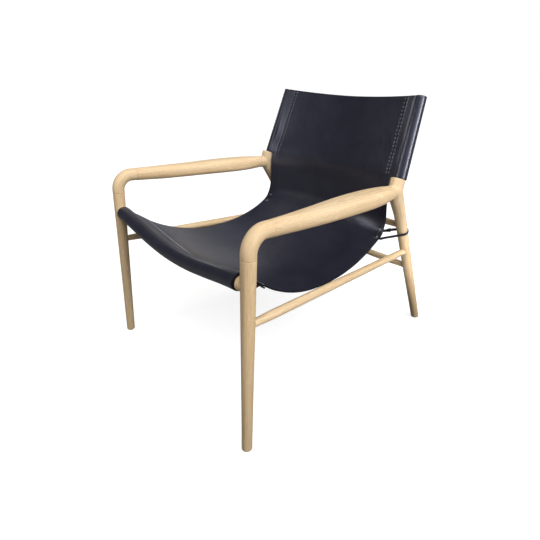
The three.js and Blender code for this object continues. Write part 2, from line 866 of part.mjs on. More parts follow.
// A skin of even thickness about quads of points
function skin(points, quads, thickness) {
  const normals = points.map(() => point(0, 0, 0));
  for (const quad of quads) {
    const [a, b, c, d] = quad.map((i) => points[i]);
    const normal = c.clone().sub(a).cross(d.clone().sub(b)).normalize();
    for (const i of quad) normals[i].add(normal);
  }
  const faceOf = (side) =>
    points.map((p, i) => p.clone().addScaledVector(normals[i].normalize(), (side * thickness) / 2));
  const positions = [...faceOf(1), ...faceOf(-1)].flatMap((p) => [p.x, p.y, p.z]);
  const triangles = [];
  const rim = new Map();
  const below = points.length;
  for (const [a, b, c, d] of quads) {
    triangles.push(a, b, c, a, c, d);
    triangles.push(below + a, below + c, below + b, below + a, below + d, below + c);
    for (const [from, to] of [[a, b], [b, c], [c, d], [d, a]]) {
      if (!rim.delete(`${to} ${from}`)) rim.set(`${from} ${to}`, [from, to]);
    }
  }
  for (const [from, to] of rim.values()) {
    triangles.push(to, from, below + from, to, below + from, below + to);
  }
  const geometry = new THREE.BufferGeometry();
  geometry.setAttribute("position", new THREE.Float32BufferAttribute(positions, 3));
  geometry.setIndex(triangles);
  return solidOf(geometry);
}

// Room for the top of a rear leg's head, which the sleeve stands on
function headSpace() {
  const halfWidth = headWidth / 2 + 2 * fitGap;
  const halfDepth = headDepth / 2 + 2 * fitGap;
  const centre = shoulder.clone().addScaledVector(postDepth, -headLead);
  const options = { sides: rungSides };
  return loft(
    [-cutOverrun, 2 * fitGap].map((rise) =>
      ring(centre.clone().addScaledVector(postTravel, rise), postTravel, halfWidth, halfDepth, options),
    ),
  );
}

// Frames of the leather at a corner's eyelets: place, normal to the front, direction upward.
// Each eyelet sits in the middle between two of the corner's rows
function eyeletFrames() {
  const rows = seatRows().slice(seatTableShares.length, seatTableShares.length + 3);
  const inward = eyeletInset / (rows[1].edge.x * (1 - sideShares[1]));
  const places = rows.map((row) =>
    slingPoint(row, sideShares[0]).lerp(slingPoint(row, sideShares[1]), inward),
  );
  const outward = toward(slingPoint(rows[1], sideShares[1]), slingPoint(rows[1], sideShares[0]));
  return [0, 1].map((i) => {
    const up = toward(places[i], places[i + 1]);
    const normal = outward.clone().cross(up).normalize();
    return { place: places[i].clone().lerp(places[i + 1], 0.5), up, normal };
  });
}

function eyeletHole({ place, normal }) {
  const reach = leatherThickness + cutOverrun;
  return roundBar(
    place.clone().addScaledVector(normal, -reach),
    place.clone().addScaledVector(normal, reach),
    [
      [0, eyeletBarrel + 2 * fitGap],
      [2 * reach, eyeletBarrel + 2 * fitGap],
    ],
    eyeletSides,
  );
}

// A metal eyelet: a barrel through the leather with a rolled flange on each face
function eyelet({ place, normal }) {
  const seat = leatherThickness / 2 + fitGap;
  const face = seat + eyeletFlangeThickness;
  const [bore, barrel, flange] = [eyeletBore / 2, eyeletBarrel / 2, eyeletFlange / 2];
  const profile = [
    [bore, -face],
    [flange, -face],
    [flange, -seat],
    [barrel, -seat],
    [barrel, seat],
    [flange, seat],
    [flange, face],
    [bore, face],
    [bore, -face],
  ].map(([x, y]) => new THREE.Vector2(x, y));
  const lathe = new THREE.LatheGeometry(profile, eyeletSides);
  lathe.applyQuaternion(new THREE.Quaternion().setFromUnitVectors(point(0, 1, 0), normal));
  lathe.translate(place.x, place.y, place.z);
  return solidOf(lathe);
}

// Mirror image across the chair's middle
const mirrored = (solid) => solid.mirror([1, 0, 0]);

function leatherSling() {
  const points = [];
  const quads = [];
  const add = (places) => places.map((place) => points.push(place) - 1);
  const join = (before, after) => {
    for (let i = 0; i + 1 < before.length; i++) {
      quads.push([before[i + 1], before[i], after[i], after[i + 1]]);
    }
  };
  const rollColumns = sideShares.map((share) => rollColumn((share * slingFrontWidth) / 2));
  const rollRows = rollColumns[0].map((_, r) => add(rollColumns.map((column) => column[r])));
  const wholeRow = (row) => add(sideShares.map((share) => slingPoint(row, share)));
  const seat = [...seatRows(), underRow()].map(wholeRow);
  const back = sleeveRows().map(wholeRow);
  const main = [...rollRows, ...seat, ...back];
  for (let r = 0; r + 1 < main.length; r++) join(main[r], main[r + 1]);
  const flip = (place) => point(-place.x, place.y, place.z);
  const flaps = sleeveRowShares.map((share, r) => {
    const left = sleeveRow(share);
    return {
      left: [...add([...left].reverse()), back[r][0]],
      right: [back[r].at(-1), ...add(left.map(flip))],
    };
  });
  for (let r = 0; r + 1 < flaps.length; r++) {
    join(flaps[r].left, flaps[r + 1].left);
    join(flaps[r].right, flaps[r + 1].right);
  }
  let leather = skin(points, quads, leatherThickness).add(hemStitching());
  leather = leather.add(sleeveStitching()).add(mirrored(sleeveStitching()));
  leather = leather.subtract(headSpace()).subtract(mirrored(headSpace()));
  for (const frame of eyeletFrames()) {
    const hole = eyeletHole(frame);
    leather = leather.subtract(hole).subtract(mirrored(hole));
  }
  return leather;
}

// Lace: one loop through both eyelets of a corner and round the rear leg.
// Each stop is a place, the direction of the lace's width, its width and its thickness
function laceStops() {
  const [low, high] = eyeletFrames();
  const legPoint = atHeight(rearFoot, junction, laceHeight);
  const legAxis = toward(rearFoot, junction);
  const [out, back] = sectionAxes(legAxis);
  const radius = rearLegRadiusAt(rearFoot.distanceTo(legPoint)) + fitGap + laceThickness / 2;
  const face = leatherThickness / 2 + eyeletFlangeThickness + fitGap;
  const hump = face + laceThickness;
  const behind = -2 * hump;
  const off = ({ place, normal, up }, outward, rise) =>
    place.clone().addScaledVector(normal, outward).addScaledVector(up, rise);
  const thread = (place) => [place, lateralAxis, laceRound, laceRound * laceSqueezeShare];
  const strap = (place) => [place, legAxis, laceWidth, laceThickness];
  const flat = (place) => [place, lateralAxis, laceRound, laceThickness];
  const inLoop = (place) => {
    const offset = place.clone().sub(legPoint);
    return [offset.dot(out), offset.dot(back)];
  };
  const [lowBack, highBack] = [off(low, behind, 0), off(high, behind, 0)];
  const loop = wrapLine(radius, inLoop(lowBack), inLoop(highBack), laceSteps).map((place) =>
    placedAt(place, legPoint, out, back),
  );
  const strand = (from, to, shares) => shares.map((share) => strap(from.clone().lerp(to, share)));
  const outwardShares = [0.1, 0.4, 0.75];
  const inwardShares = [0.25, 0.6, 0.9];
  return [
    flat(off(low, hump, eyeletSpacing / 2)),
    flat(off(high, hump, -laceRound)),
    thread(off(high, face, 0)),
    thread(off(high, -face, 0)),
    ...strand(highBack, loop.at(-1), outwardShares),
    ...loop.reverse().map(strap),
    ...strand(loop.at(-1), lowBack, inwardShares),
    thread(off(low, -face, 0)),
    thread(off(low, face, 0)),
    flat(off(low, hump, laceRound)),
  ];
}

function lace() {
  const stops = laceStops();
  const count = stops.length;
  const rings = stops.map(([place, widthAxis, width, thickness], i) => {
    const travel = toward(stops[(i + count - 1) % count][0], stops[(i + 1) % count][0]);
    return ring(place, travel, width / 2, thickness / 2, { sides: laceSides, lateral: widthAxis });
  });
  const knotPlace = stops[6][0];
  const knotTravel = toward(stops[5][0], knotPlace);
  const knotShares = [
    [-0.5, 0.6],
    [-0.3, 1],
    [0.3, 1],
    [0.5, 0.6],
  ];
  const knot = loft(
    knotShares.map(([place, girth]) => {
      const halfWidth = (girth * laceKnot) / 2;
      const centre = knotPlace.clone().addScaledVector(knotTravel, place * laceKnotLength);
      const halfDepth = halfWidth * laceKnotFlatShare;
      return ring(centre, knotTravel, halfWidth, halfDepth, { sides: laceSides });
    }),
  );
  return loft(rings, { looped: true }).add(knot);
}

// Glide: a disc under the foot with a pin driven into it
function footGlide(foot) {
  const chamfer = glideThickness / 4;
  return roundBar(
    point(foot.x, foot.y, 0),
    point(foot.x, foot.y, glidePinLength),
    [
      [0, glideDiameter - 2 * chamfer],
      [chamfer, glideDiameter],
      [glideThickness, glideDiameter],
      [glideThickness, glidePinDiameter],
      [glidePinLength, glidePinDiameter],
    ],
    pegSides,
  );
}

// Materials
const finishes = {
  oak: { color: 0xdcc49c, roughness: 0.62, metalness: 0 },
  leather: { color: 0x26262f, roughness: 0.42, metalness: 0 },
  nickel: { color: 0x9a9aa0, roughness: 0.35, metalness: 1 },
  nylon: { color: 0x2b2b2b, roughness: 0.6, metalness: 0 },
};

function piece(name, solid, finish) {
  const material = new THREE.MeshStandardMaterial(finishes[finish]);
  const mesh = new THREE.Mesh(geometryOf(solid), material);
  mesh.name = name;
  return mesh;
}

// Assembly: the right side is the mirror image of the left
const chair = new THREE.Group();
chair.name = "sling_lounge_chair";

const sideFrame = [
  ["front_leg", frontLeg(), "oak"],
  ["knee_block", kneeBlock(), "oak"],
  ["armrest", armrest(), "oak"],
  ["rear_leg", rearLeg(), "oak"],
  ["back_post", backPost(), "oak"],
  [
    "side_stretcher",
    rung(
      stretcherFront,
      stretcherRear,
      [stretcherFrontRadius, stretcherRearRadius],
      [frontLegShape(fitGap), rearLegShape(fitGap)],
      stretcherDiameter,
      stretcherEndDiameter,
    ),
    "oak",
  ],
  ["lace", lace(), "leather"],
  ["front_glide", footGlide(frontFoot), "nylon"],
  ["rear_glide", footGlide(rearFoot), "nylon"],
];
eyeletFrames().forEach((frame, i) => {
  sideFrame.push([["eyelet_lower", "eyelet_upper"][i], eyelet(frame), "nickel"]);
});
const dowelledJoints = { leg_knee: legKneeJoint, knee_arm: kneeArmJoint, arm_head: armHeadJoint };
for (const [jointName, joint] of Object.entries(dowelledJoints)) {
  dowelLines(joint).forEach((line, i) => {
    sideFrame.push([`dowel_${jointName}_${i + 1}`, dowel(line), "oak"]);
  });
}
for (const [name, solid, finish] of sideFrame) {
  chair.add(piece(`${name}_left`, solid, finish));
  chair.add(piece(`${name}_right`, mirrored(solid), finish));
}

chair.add(piece("front_rail", frontRail(), "oak"));
for (const [name, height] of Object.entries(rearRailHeights)) {
  const left = atHeight(rearFoot, junction, height);
  const right = point(-left.x, left.y, left.z);
  const radius = rearLegRadiusAt(rearFoot.distanceTo(left));
  const legs = [rearLegShape(fitGap), mirrored(rearLegShape(fitGap))];
  const rail = rung(left, right, [radius, radius], legs, rearRailDiameter, rearRailEndDiameter);
  chair.add(piece(`rear_rail_${name}`, rail, "oak"));
}
chair.add(piece("leather_sling", leatherSling(), "leather"));

// The chair's box is centred over the origin
const box = new THREE.Box3().setFromObject(chair);
chair.position.y = -(box.min.y + box.max.y) / 2;

export default chair;
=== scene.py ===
"""Visual model of a sling lounge chair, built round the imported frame.

A turned oak frame with lofted members, and one sheet of saddle leather that is sewn into
sleeves over the back posts and round the front rail. Shapes are worked out in millimetres
in the frame of the solids, and scaled to metres when a mesh is made.
"""
import math

import bmesh
import bpy
import numpy as np
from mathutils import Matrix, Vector


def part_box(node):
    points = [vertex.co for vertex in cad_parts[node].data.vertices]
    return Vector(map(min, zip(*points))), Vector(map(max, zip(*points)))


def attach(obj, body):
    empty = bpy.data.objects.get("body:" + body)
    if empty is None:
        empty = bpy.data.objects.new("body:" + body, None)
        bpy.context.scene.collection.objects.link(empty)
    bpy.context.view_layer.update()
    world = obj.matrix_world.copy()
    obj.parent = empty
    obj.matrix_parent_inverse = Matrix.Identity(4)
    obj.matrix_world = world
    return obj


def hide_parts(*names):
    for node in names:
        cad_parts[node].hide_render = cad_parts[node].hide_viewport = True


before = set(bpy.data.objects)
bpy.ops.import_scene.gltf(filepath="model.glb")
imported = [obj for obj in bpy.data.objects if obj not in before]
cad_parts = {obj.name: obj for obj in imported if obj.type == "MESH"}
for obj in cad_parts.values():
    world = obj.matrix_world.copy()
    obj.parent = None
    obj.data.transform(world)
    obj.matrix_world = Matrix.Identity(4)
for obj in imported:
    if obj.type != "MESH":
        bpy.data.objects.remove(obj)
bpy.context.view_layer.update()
MM = 0.001
X_AXIS = np.array([1.0, 0.0, 0.0])
Z_AXIS = np.array([0.0, 0.0, 1.0])


# Camera
# Places of the camera and the lamps are in m
CAMERA_PLACE = (0.895, -0.8329, 0.843)
CAMERA_TILT, CAMERA_TURN = math.radians(63.286), math.radians(48.921)
CAMERA_LENS, CAMERA_SENSOR = 26.478, 36.0
CAMERA_NEAR, CAMERA_FAR = 0.02, 60.0


def make_camera():
    """The camera as it was fitted to the photograph."""
    data = bpy.data.cameras.new("photo_camera")
    camera = bpy.data.objects.new("photo_camera", data)
    bpy.context.scene.collection.objects.link(camera)
    camera.location = CAMERA_PLACE
    camera.rotation_euler = (CAMERA_TILT, 0.0, CAMERA_TURN)
    data.sensor_width = CAMERA_SENSOR
    data.lens = CAMERA_LENS
    data.clip_start, data.clip_end = CAMERA_NEAR, CAMERA_FAR
    bpy.context.scene.camera = camera


make_camera()


# Numbers and curves
def vec(*values):
    return np.array(values, float)


def unit(v):
    return v / np.linalg.norm(v)


def mix(a, b, share):
    return a + (b - a) * share


def ease(share):
    t = np.clip(share, 0.0, 1.0)
    return t * t * (3 - 2 * t)


def spans(x, places):
    """For each place, the index of its span, the span's length and the share along it."""
    places = np.clip(np.atleast_1d(places), x[0], x[-1])
    i = np.clip(np.searchsorted(x, places, side="right") - 1, 0, len(x) - 2)
    step = (x[i + 1] - x[i])[:, None]
    return i, step, (places - x[i])[:, None] / step


def cubic(y, slopes, i, step, t):
    """The cubic through rows i and i + 1 that has the given slopes there."""
    return (
        (2 * t**3 - 3 * t**2 + 1) * y[i]
        + (t**3 - 2 * t**2 + t) * step * slopes[i]
        + (3 * t**2 - 2 * t**3) * y[i + 1]
        + (t**3 - t**2) * step * slopes[i + 1]
    )


def monotone(table, places):
    """Columns of a table at places given by its first column, without overshoot."""
    table = np.asarray(table, float)
    x, y = table[:, 0], table[:, 1:]
    step = np.diff(x)[:, None]
    slope = np.diff(y, axis=0) / step
    tangent = np.zeros_like(y)
    tangent[0], tangent[-1] = slope[0], slope[-1]
    for i in range(1, len(x) - 1):
        same = slope[i - 1] * slope[i] > 0
        w1, w2 = 2 * step[i] + step[i - 1], step[i] + 2 * step[i - 1]
        with np.errstate(divide="ignore", invalid="ignore"):
            mean = (w1 + w2) / (w1 / slope[i - 1] + w2 / slope[i])
        tangent[i] = np.where(same, mean, 0.0)
    return cubic(y, tangent, *spans(x, places))


def spline(x, y, places, first_slope, last_slope):
    """Cubic spline through y at x, with given end slopes."""
    x, y = np.asarray(x, float), np.asarray(y, float)
    n, h = len(x), np.diff(x)
    a, b = np.zeros((n, n)), np.zeros((n, y.shape[1]))
    a[0, 0] = a[-1, -1] = 1
    b[0], b[-1] = first_slope, last_slope
    for i in range(1, n - 1):
        a[i, i - 1], a[i, i], a[i, i + 1] = h[i], 2 * (h[i] + h[i - 1]), h[i - 1]
        b[i] = 3 * ((y[i] - y[i - 1]) / h[i - 1] * h[i] + (y[i + 1] - y[i]) / h[i] * h[i - 1])
    return cubic(y, np.linalg.solve(a, b), *spans(x, places))


def distances(points):
    """How far along its line each point lies."""
    return np.concatenate([[0], np.cumsum(np.linalg.norm(np.diff(points, axis=0), axis=1))])


def resample(points, count):
    """The same line with evenly spaced points."""
    points = np.asarray(points, float)
    run = distances(points)
    places = np.linspace(0, run[-1], count)
    return np.column_stack([np.interp(places, run, points[:, k]) for k in range(points.shape[1])])


def along(start, end, distance):
    return start + unit(end - start) * distance


def at_height(start, end, height):
    return start + (end - start) * (height - start[2]) / (end[2] - start[2])


def section_axes(travel, lateral=X_AXIS):
    """Two directions across the travel, the first one nearest to the lateral."""
    guide = Z_AXIS if abs(lateral @ travel) > 0.9 else lateral
    first = unit(guide - travel * (guide @ travel))
    return first, np.cross(travel, first)


# Sizes of the solids, in mm
FIT_GAP = 0.3
FRONT_FOOT_SPREAD, REAR_FOOT_SPREAD = 684.0, 588.0
KNEE_SPREAD, JUNCTION_SPREAD, POST_TOP_SPREAD = 644.0, 569.0, 530.0
KNEE_HEIGHT, JUNCTION_HEIGHT, POST_TOP_HEIGHT = 556.0, 528.0, 779.0
KNEE_SET_BACK, ARM_REACH, REAR_RAKE, POST_LEAN = 38.0, 574.0, 242.25, 88.0
FRONT_FOOT_D, FRONT_LEG_D, FRONT_TAPER = 26.5, 36.5, 1.15
REAR_FOOT_D, REAR_LEG_D = 26.5, 35.5
FOOT_BOTTOM = 2.8
KNEE_RADIUS, KNEE_BLOCK_LEG, KNEE_BLOCK_ARM = 44.0, 52.0, 57.0
ARM_WIDTH, ARM_THICKNESS, ARM_JOINT_SET_BACK, ARM_SQUARENESS = 70.0, 44.0, 43.0, 2.9
HEAD_HEIGHT, HEAD_DEPTH, HEAD_WIDTH, HEAD_FADE = 36.0, 54.0, 38.0, 140.0
HEAD_LEAD, HEAD_ROUND, HEAD_BEND = 9.0, 3.0, 45.0
POST_D, POST_TOP_D = 30.0, 24.0
RAIL_DROP, RAIL_DIP, RAIL_DIP_POWER, RAIL_D = 112.0, 34.0, 1.6, 35.0
BOSS_D, BOSS_LENGTH = 38.0, 9.0
STRETCHER_FRONT, STRETCHER_REAR, STRETCHER_D, STRETCHER_END_D = 351.0, 315.0, 22.5, 19.0
REAR_RAILS = {"lower": 250.0, "upper": 413.0}
REAR_RAIL_D, REAR_RAIL_END_D, RUNG_TAPER = 22.0, 19.0, 60.0
LEATHER, LEATHER_GAP = 3.5, 0.5
SLING_WIDTH, SLING_DROP, SLING_BOW, SAG_POWER = 600.0, 114.0, 45.0, 1.15
SLEEVE_SEAM, SLEEVE_HOLLOW, SLEEVE_TOP_DROP = 53.0, 33.0, 2.0
HEM_LENGTH, HEM_HOLLOW = 80.0, 60.0
EYELET_INSET, LACE_HEIGHT = 14.0, 391.0

# Corner points of the left side frame; the solids are centred on their box
glide_low, glide_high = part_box("front_glide_left")
front_y = (glide_low.y + glide_high.y) / 2 / MM
front_foot = vec(FRONT_FOOT_SPREAD / 2, front_y, 0)
knee = vec(KNEE_SPREAD / 2, front_y + KNEE_SET_BACK, KNEE_HEIGHT)
junction = vec(JUNCTION_SPREAD / 2, knee[1] + ARM_REACH, JUNCTION_HEIGHT)
rear_foot = vec(REAR_FOOT_SPREAD / 2, junction[1] + REAR_RAKE, 0)
post_top = vec(POST_TOP_SPREAD / 2, junction[1] + POST_LEAN, POST_TOP_HEIGHT)
shoulder = along(junction, post_top, HEAD_HEIGHT)
post_length = np.linalg.norm(post_top - shoulder)


# Meshes
def new_object(name, vertices, faces, *materials):
    mesh = bpy.data.meshes.new(name)
    mesh.from_pydata([tuple(v) for v in np.asarray(vertices) * MM], [], faces)
    mesh.validate()
    mesh.update()
    obj = bpy.data.objects.new(name, mesh)
    bpy.context.scene.collection.objects.link(obj)
    for material in materials:
        mesh.materials.append(material)
    mesh.shade_smooth()
    return obj


def flattened(points, centre, first, second):
    """Points as seen in a section: how far they lie along its two directions."""
    offset = np.asarray(points) - centre
    return np.column_stack([offset @ first, offset @ second])


def raised(flat, centre, first, second):
    """The opposite of flattened."""
    return centre + np.outer(flat[:, 0], first) + np.outer(flat[:, 1], second)


def ring(centre, travel, half_width, half_depth, exponent=2.0, sides=48, lateral=X_AXIS):
    """A rounded section across the travel: an oval, or squarer with a higher exponent."""
    angle = np.linspace(0, 2 * math.pi, sides, endpoint=False)
    line = np.column_stack([np.cos(angle), np.sin(angle)])
    line = np.sign(line) * np.abs(line) ** (2 / exponent) * (half_width, half_depth)
    return raised(line, centre, *section_axes(travel, lateral))


def round_ring(centre, travel, radius, sides, lateral=X_AXIS):
    return ring(centre, travel, radius, radius, 2.0, sides, lateral)


def straight_rings(start, travel, stops, sides, lateral=X_AXIS):
    """Round rings along a line; each stop is a distance and a radius."""
    return [round_ring(start + travel * distance, travel, radius, sides, lateral)
            for distance, radius in stops]


def shell(rings, looped=False):
    """Vertices and faces of a skin over rings, capped unless the last ring meets the first."""
    count, sides = len(rings), len(rings[0])
    faces = []
    for r in range(count if looped else count - 1):
        n = (r + 1) % count
        for i in range(sides):
            j = (i + 1) % sides
            faces.append((r * sides + i, r * sides + j, n * sides + j, n * sides + i))
    if not looped:
        faces.append(tuple(reversed(range(sides))))
        faces.append(tuple(range((count - 1) * sides, count * sides)))
    return np.concatenate(rings), faces


def combined(parts):
    """Vertices and faces of several skins as one."""
    vertices, faces = [], []
    for more, more_faces in parts:
        base = len(vertices)
        faces += [tuple(base + i for i in face) for face in more_faces]
        vertices += list(more)
    return vertices, faces


def lofted(name, rings, material, looped=False):
    return new_object(name, *shell(rings, looped), material)


def mirror(obj, name):
    """A mirrored copy across the chair's middle."""
    copy = obj.copy()
    copy.data = obj.data.copy()
    copy.name = copy.data.name = name
    bpy.context.scene.collection.objects.link(copy)
    bm = bmesh.new()
    bm.from_mesh(copy.data)
    for v in bm.verts:
        v.co.x = -v.co.x
    bmesh.ops.reverse_faces(bm, faces=bm.faces)
    bm.to_mesh(copy.data)
    bm.free()
    return copy


def apply_modifiers(obj):
    depsgraph = bpy.context.evaluated_depsgraph_get()
    mesh = bpy.data.meshes.new_from_object(obj.evaluated_get(depsgraph))
    old = obj.data
    obj.modifiers.clear()
    obj.data = mesh
    bpy.data.meshes.remove(old)
    mesh.name = obj.name


def coordinates(obj):
    co = np.zeros(len(obj.data.vertices) * 3)
    obj.data.vertices.foreach_get("co", co)
    return co.reshape(-1, 3) / MM


# The least and most that a member lies off its log's centre and start, in mm
LOG_OFFSETS = ([-14, 34, 0], [14, 60, 4000])
ENDLESS = 1e9


def store_grain(obj, path, seed, lateral=X_AXIS):
    """Stores where each point lies in the straightened member: across, across, along.

    The wood's rings, pores and fibres read this, so they follow every bend.
    """
    path = np.asarray(path, float)
    travel = np.diff(path, axis=0)
    length = np.linalg.norm(travel, axis=1)
    travel = travel / length[:, None]
    start = distances(path)
    co = coordinates(obj)
    best = np.full(len(co), np.inf)
    place = np.zeros((len(co), 3))
    for k, t in enumerate(travel):
        offset = co - path[k]
        run = offset @ t
        low = -ENDLESS if k == 0 else 0.0
        high = ENDLESS if k == len(travel) - 1 else length[k]
        held = np.clip(run, low, high)
        gap = np.linalg.norm(offset - held[:, None] * t, axis=1)
        first, second = section_axes(t, lateral)
        near = gap < best - 1e-9
        best[near] = gap[near]
        rest = offset[near] - held[near, None] * t
        place[near] = np.column_stack([rest @ first, rest @ second, start[k] + held[near]])
    shift = np.random.default_rng(seed).uniform(*LOG_OFFSETS)
    attribute = obj.data.attributes.new("grain", "FLOAT_VECTOR", "POINT")
    attribute.data.foreach_set("vector", ((place + shift) * MM).ravel())


RELAX_STRENGTH, RELAX_FADE = 0.5, 1.6


def relax(obj, centre, radius, rounds):
    """Evens out the surface near a place, so that two merged members run into each other."""
    co = coordinates(obj)
    near = 1 - np.linalg.norm(co - centre, axis=1) / radius
    weight = ease(RELAX_FADE * near)[:, None] * RELAX_STRENGTH
    pairs = np.zeros(len(obj.data.edges) * 2, int)
    obj.data.edges.foreach_get("vertices", pairs)
    pairs = pairs.reshape(-1, 2)
    count = np.bincount(pairs.ravel(), minlength=len(co))[:, None]
    for _ in range(rounds):
        total = np.zeros_like(co)
        for a, b in ((0, 1), (1, 0)):
            for k in range(3):
                total[:, k] += np.bincount(pairs[:, a], co[pairs[:, b], k], minlength=len(co))
        co = mix(co, total / np.maximum(count, 1), weight)
    obj.data.vertices.foreach_set("co", (co * MM).ravel())
    obj.data.update()


def merged(name, parts, voxel, material):
    """One closed skin over several overlapping shells."""
    obj = new_object(name, *combined(parts), material)
    modifier = obj.modifiers.new("skin", "REMESH")
    modifier.mode = "VOXEL"
    modifier.voxel_size = voxel * MM
    modifier.use_smooth_shade = True
    apply_modifiers(obj)
    return obj


# Node helpers
class Nodes:
    """The node tree of a material or of the room, with short calls for what they need."""

    def __init__(self, owner, shader="Principled BSDF"):
        owner.use_nodes = True
        self.owner = owner
        self.tree = owner.node_tree
        self.shader = self.tree.nodes[shader]

    def add(self, kind, settings=(), **inputs):
        node = self.tree.nodes.new(kind)
        for key, value in dict(settings).items():
            setattr(node, key, value)
        for key, value in inputs.items():
            self.put(node, key.replace("_", " "), value)
        return node

    def put(self, node, key, value):
        socket = node.inputs[key]
        if isinstance(value, bpy.types.NodeSocket):
            self.tree.links.new(value, socket)
        else:
            socket.default_value = value

    def of_two(self, kind, operation, a, b):
        node = self.add(kind, {"operation": operation})
        self.put(node, 0, a)
        self.put(node, 1, b)
        return node.outputs

    def math(self, operation, a, b):
        return self.of_two("ShaderNodeMath", operation, a, b)[0]

    def stretch(self, vector, scale):
        return self.of_two("ShaderNodeVectorMath", "MULTIPLY", vector, scale)[0]

    def where(self, kind="Object"):
        return self.add("ShaderNodeTexCoord").outputs[kind]

    def camera_ray(self):
        return self.add("ShaderNodeLightPath").outputs["Is Camera Ray"]

    def noise(self, vector, scale, detail=2.0, roughness=0.5):
        node = self.add("ShaderNodeTexNoise", Scale=scale, Detail=detail, Roughness=roughness,
                        Vector=vector)
        return node.outputs[0]

    def ramp(self, value, low, high, from_value=0.0, to_value=1.0, kind="SMOOTHSTEP"):
        node = self.add("ShaderNodeMapRange", {"interpolation_type": kind}, Value=value,
                        From_Min=low, From_Max=high, To_Min=from_value, To_Max=to_value)
        return node.outputs[0]

    def blend(self, share, a, b):
        node = self.add("ShaderNodeMix", {"data_type": "RGBA"})
        self.put(node, 0, share)
        self.put(node, 6, a)
        self.put(node, 7, b)
        return node.outputs[2]

    def tint(self, share, most, base, shade):
        """The base colour with some of a shade: at most this much, where the share is 1."""
        return self.blend(self.math("MULTIPLY", share, most), base, shade)

    def bump(self, height, distance, strength=1.0, before=None):
        node = self.add("ShaderNodeBump", Height=height, Distance=distance, Strength=strength)
        if before is not None:
            self.put(node, "Normal", before)
        return node.outputs[0]

    def finish(self, **inputs):
        for key, value in inputs.items():
            self.put(self.shader, key.replace("_", " "), value)
        return self.owner


def material_nodes(name):
    return Nodes(bpy.data.materials.new(name))


def colour(r, g, b):
    """A linear colour from values of the picture, 0 to 255."""
    line = lambda c: c / 12.92 if c <= 0.04045 else ((c + 0.055) / 1.055) ** 2.4
    return (line(r / 255), line(g / 255), line(b / 255), 1.0)


# Painted shade on the legs: the blend towards a dark tone at the floor, fading out by this height
FOOT_PAINTED_SHADE, FOOT_PAINTED_SHADE_TOP = 0.45, 0.46


def oak(name, follows_member=True):
    """Soaped oak: rings, fibres and pores along the member, and painted shade darkening legs to the
    floor.
    """
    n = material_nodes(name)
    if follows_member:
        where = n.add("ShaderNodeAttribute", {"attribute_name": "grain"}).outputs["Vector"]
    else:
        where = n.where()
    slow = n.noise(n.stretch(where, (14, 14, 1.6)), 1.0, 3.0, 0.55)
    rings = n.add("ShaderNodeTexWave", {"wave_type": "RINGS", "rings_direction": "Z",
                                        "wave_profile": "SAW"},
                  Vector=n.stretch(where, (1, 1, 0.05)), Scale=98.0, Distortion=2.2,
                  Detail=2.0).outputs[1]
    ring_tone = n.ramp(rings, 0.35, 1.0)
    fibre = n.noise(n.stretch(where, (900, 900, 9)), 1.0, 3.0, 0.6)
    pores = n.noise(n.stretch(where, (1500, 1500, 38)), 1.0, 1.0, 0.4)
    pore = n.math("MULTIPLY", n.ramp(pores, 0.60, 0.70), n.ramp(rings, 0.15, 0.75, 0.35, 1.0))
    flecks = n.ramp(n.noise(n.stretch(where, (260, 90, 30)), 1.0, 0.0), 0.70, 0.76)
    streak = n.ramp(n.noise(n.stretch(where, (170, 170, 3.5)), 1.0, 2.0, 0.5), 0.54, 0.74)
    base = n.blend(n.ramp(slow, 0.3, 0.7), colour(233, 209, 172), colour(218, 189, 147))
    base = n.tint(streak, 0.4, base, colour(176, 148, 106))
    base = n.tint(ring_tone, 0.42, base, colour(190, 152, 106))
    base = n.tint(n.ramp(fibre, 0.35, 0.75), 0.30, base, colour(196, 162, 118))
    base = n.tint(flecks, 0.25, base, colour(238, 218, 184))
    base = n.tint(pore, 0.55, base, colour(140, 104, 66))
    # Painted shade: the oak is blended towards a darker tone near the floor
    above_floor = n.add("ShaderNodeSeparateXYZ", Vector=n.where()).outputs["Z"]
    foot = n.ramp(above_floor, 0.0, FOOT_PAINTED_SHADE_TOP, FOOT_PAINTED_SHADE, 0.0)
    base = n.blend(foot, base, colour(134, 110, 70))
    rough = n.ramp(fibre, 0.2, 0.8, 0.50, 0.64)
    relief = n.math("SUBTRACT", n.math("MULTIPLY", fibre, 0.4), pore)
    return n.finish(Base_Color=base, Roughness=rough, Normal=n.bump(relief, 0.00012, 0.6))


LEATHER_TINT = (0.84, 0.86, 1.0, 1.0)


def leather(name, low, high, rough_low, rough_high, grain=0.0001, gloss=0.5):
    """Dyed leather: clouds of tone, small cells, fine pores and a slow unevenness."""
    n = material_nodes(name)
    n.shader.inputs["Specular IOR Level"].default_value = gloss
    n.shader.inputs["Specular Tint"].default_value = LEATHER_TINT
    where = n.where()
    cells = n.add("ShaderNodeTexVoronoi", {"feature": "SMOOTH_F1"}, Vector=where,
                  Scale=760.0, Smoothness=0.6, Randomness=0.95).outputs[0]
    fine = n.noise(where, 2600.0, 3.0, 0.6)
    cloud = n.noise(where, 9.0, 4.0, 0.6)
    patch = n.noise(where, 42.0, 3.0, 0.5)
    tone = n.math("ADD", n.math("MULTIPLY", cloud, 0.6), n.math("MULTIPLY", patch, 0.4))
    base = n.blend(n.ramp(tone, 0.32, 0.68), low, high)
    wear = n.math("ADD", n.math("MULTIPLY", cloud, 0.5), n.math("MULTIPLY", cells, 0.5))
    rough = n.ramp(wear, 0.2, 0.8, rough_low, rough_high)
    relief = n.math("ADD", cells, n.math("MULTIPLY", fine, 0.35))
    normal = n.bump(n.noise(where, 26.0, 2.0, 0.4), 0.0006, 0.25)
    normal = n.bump(relief, grain, 0.55, normal)
    return n.finish(Base_Color=base, Roughness=rough, Normal=normal)


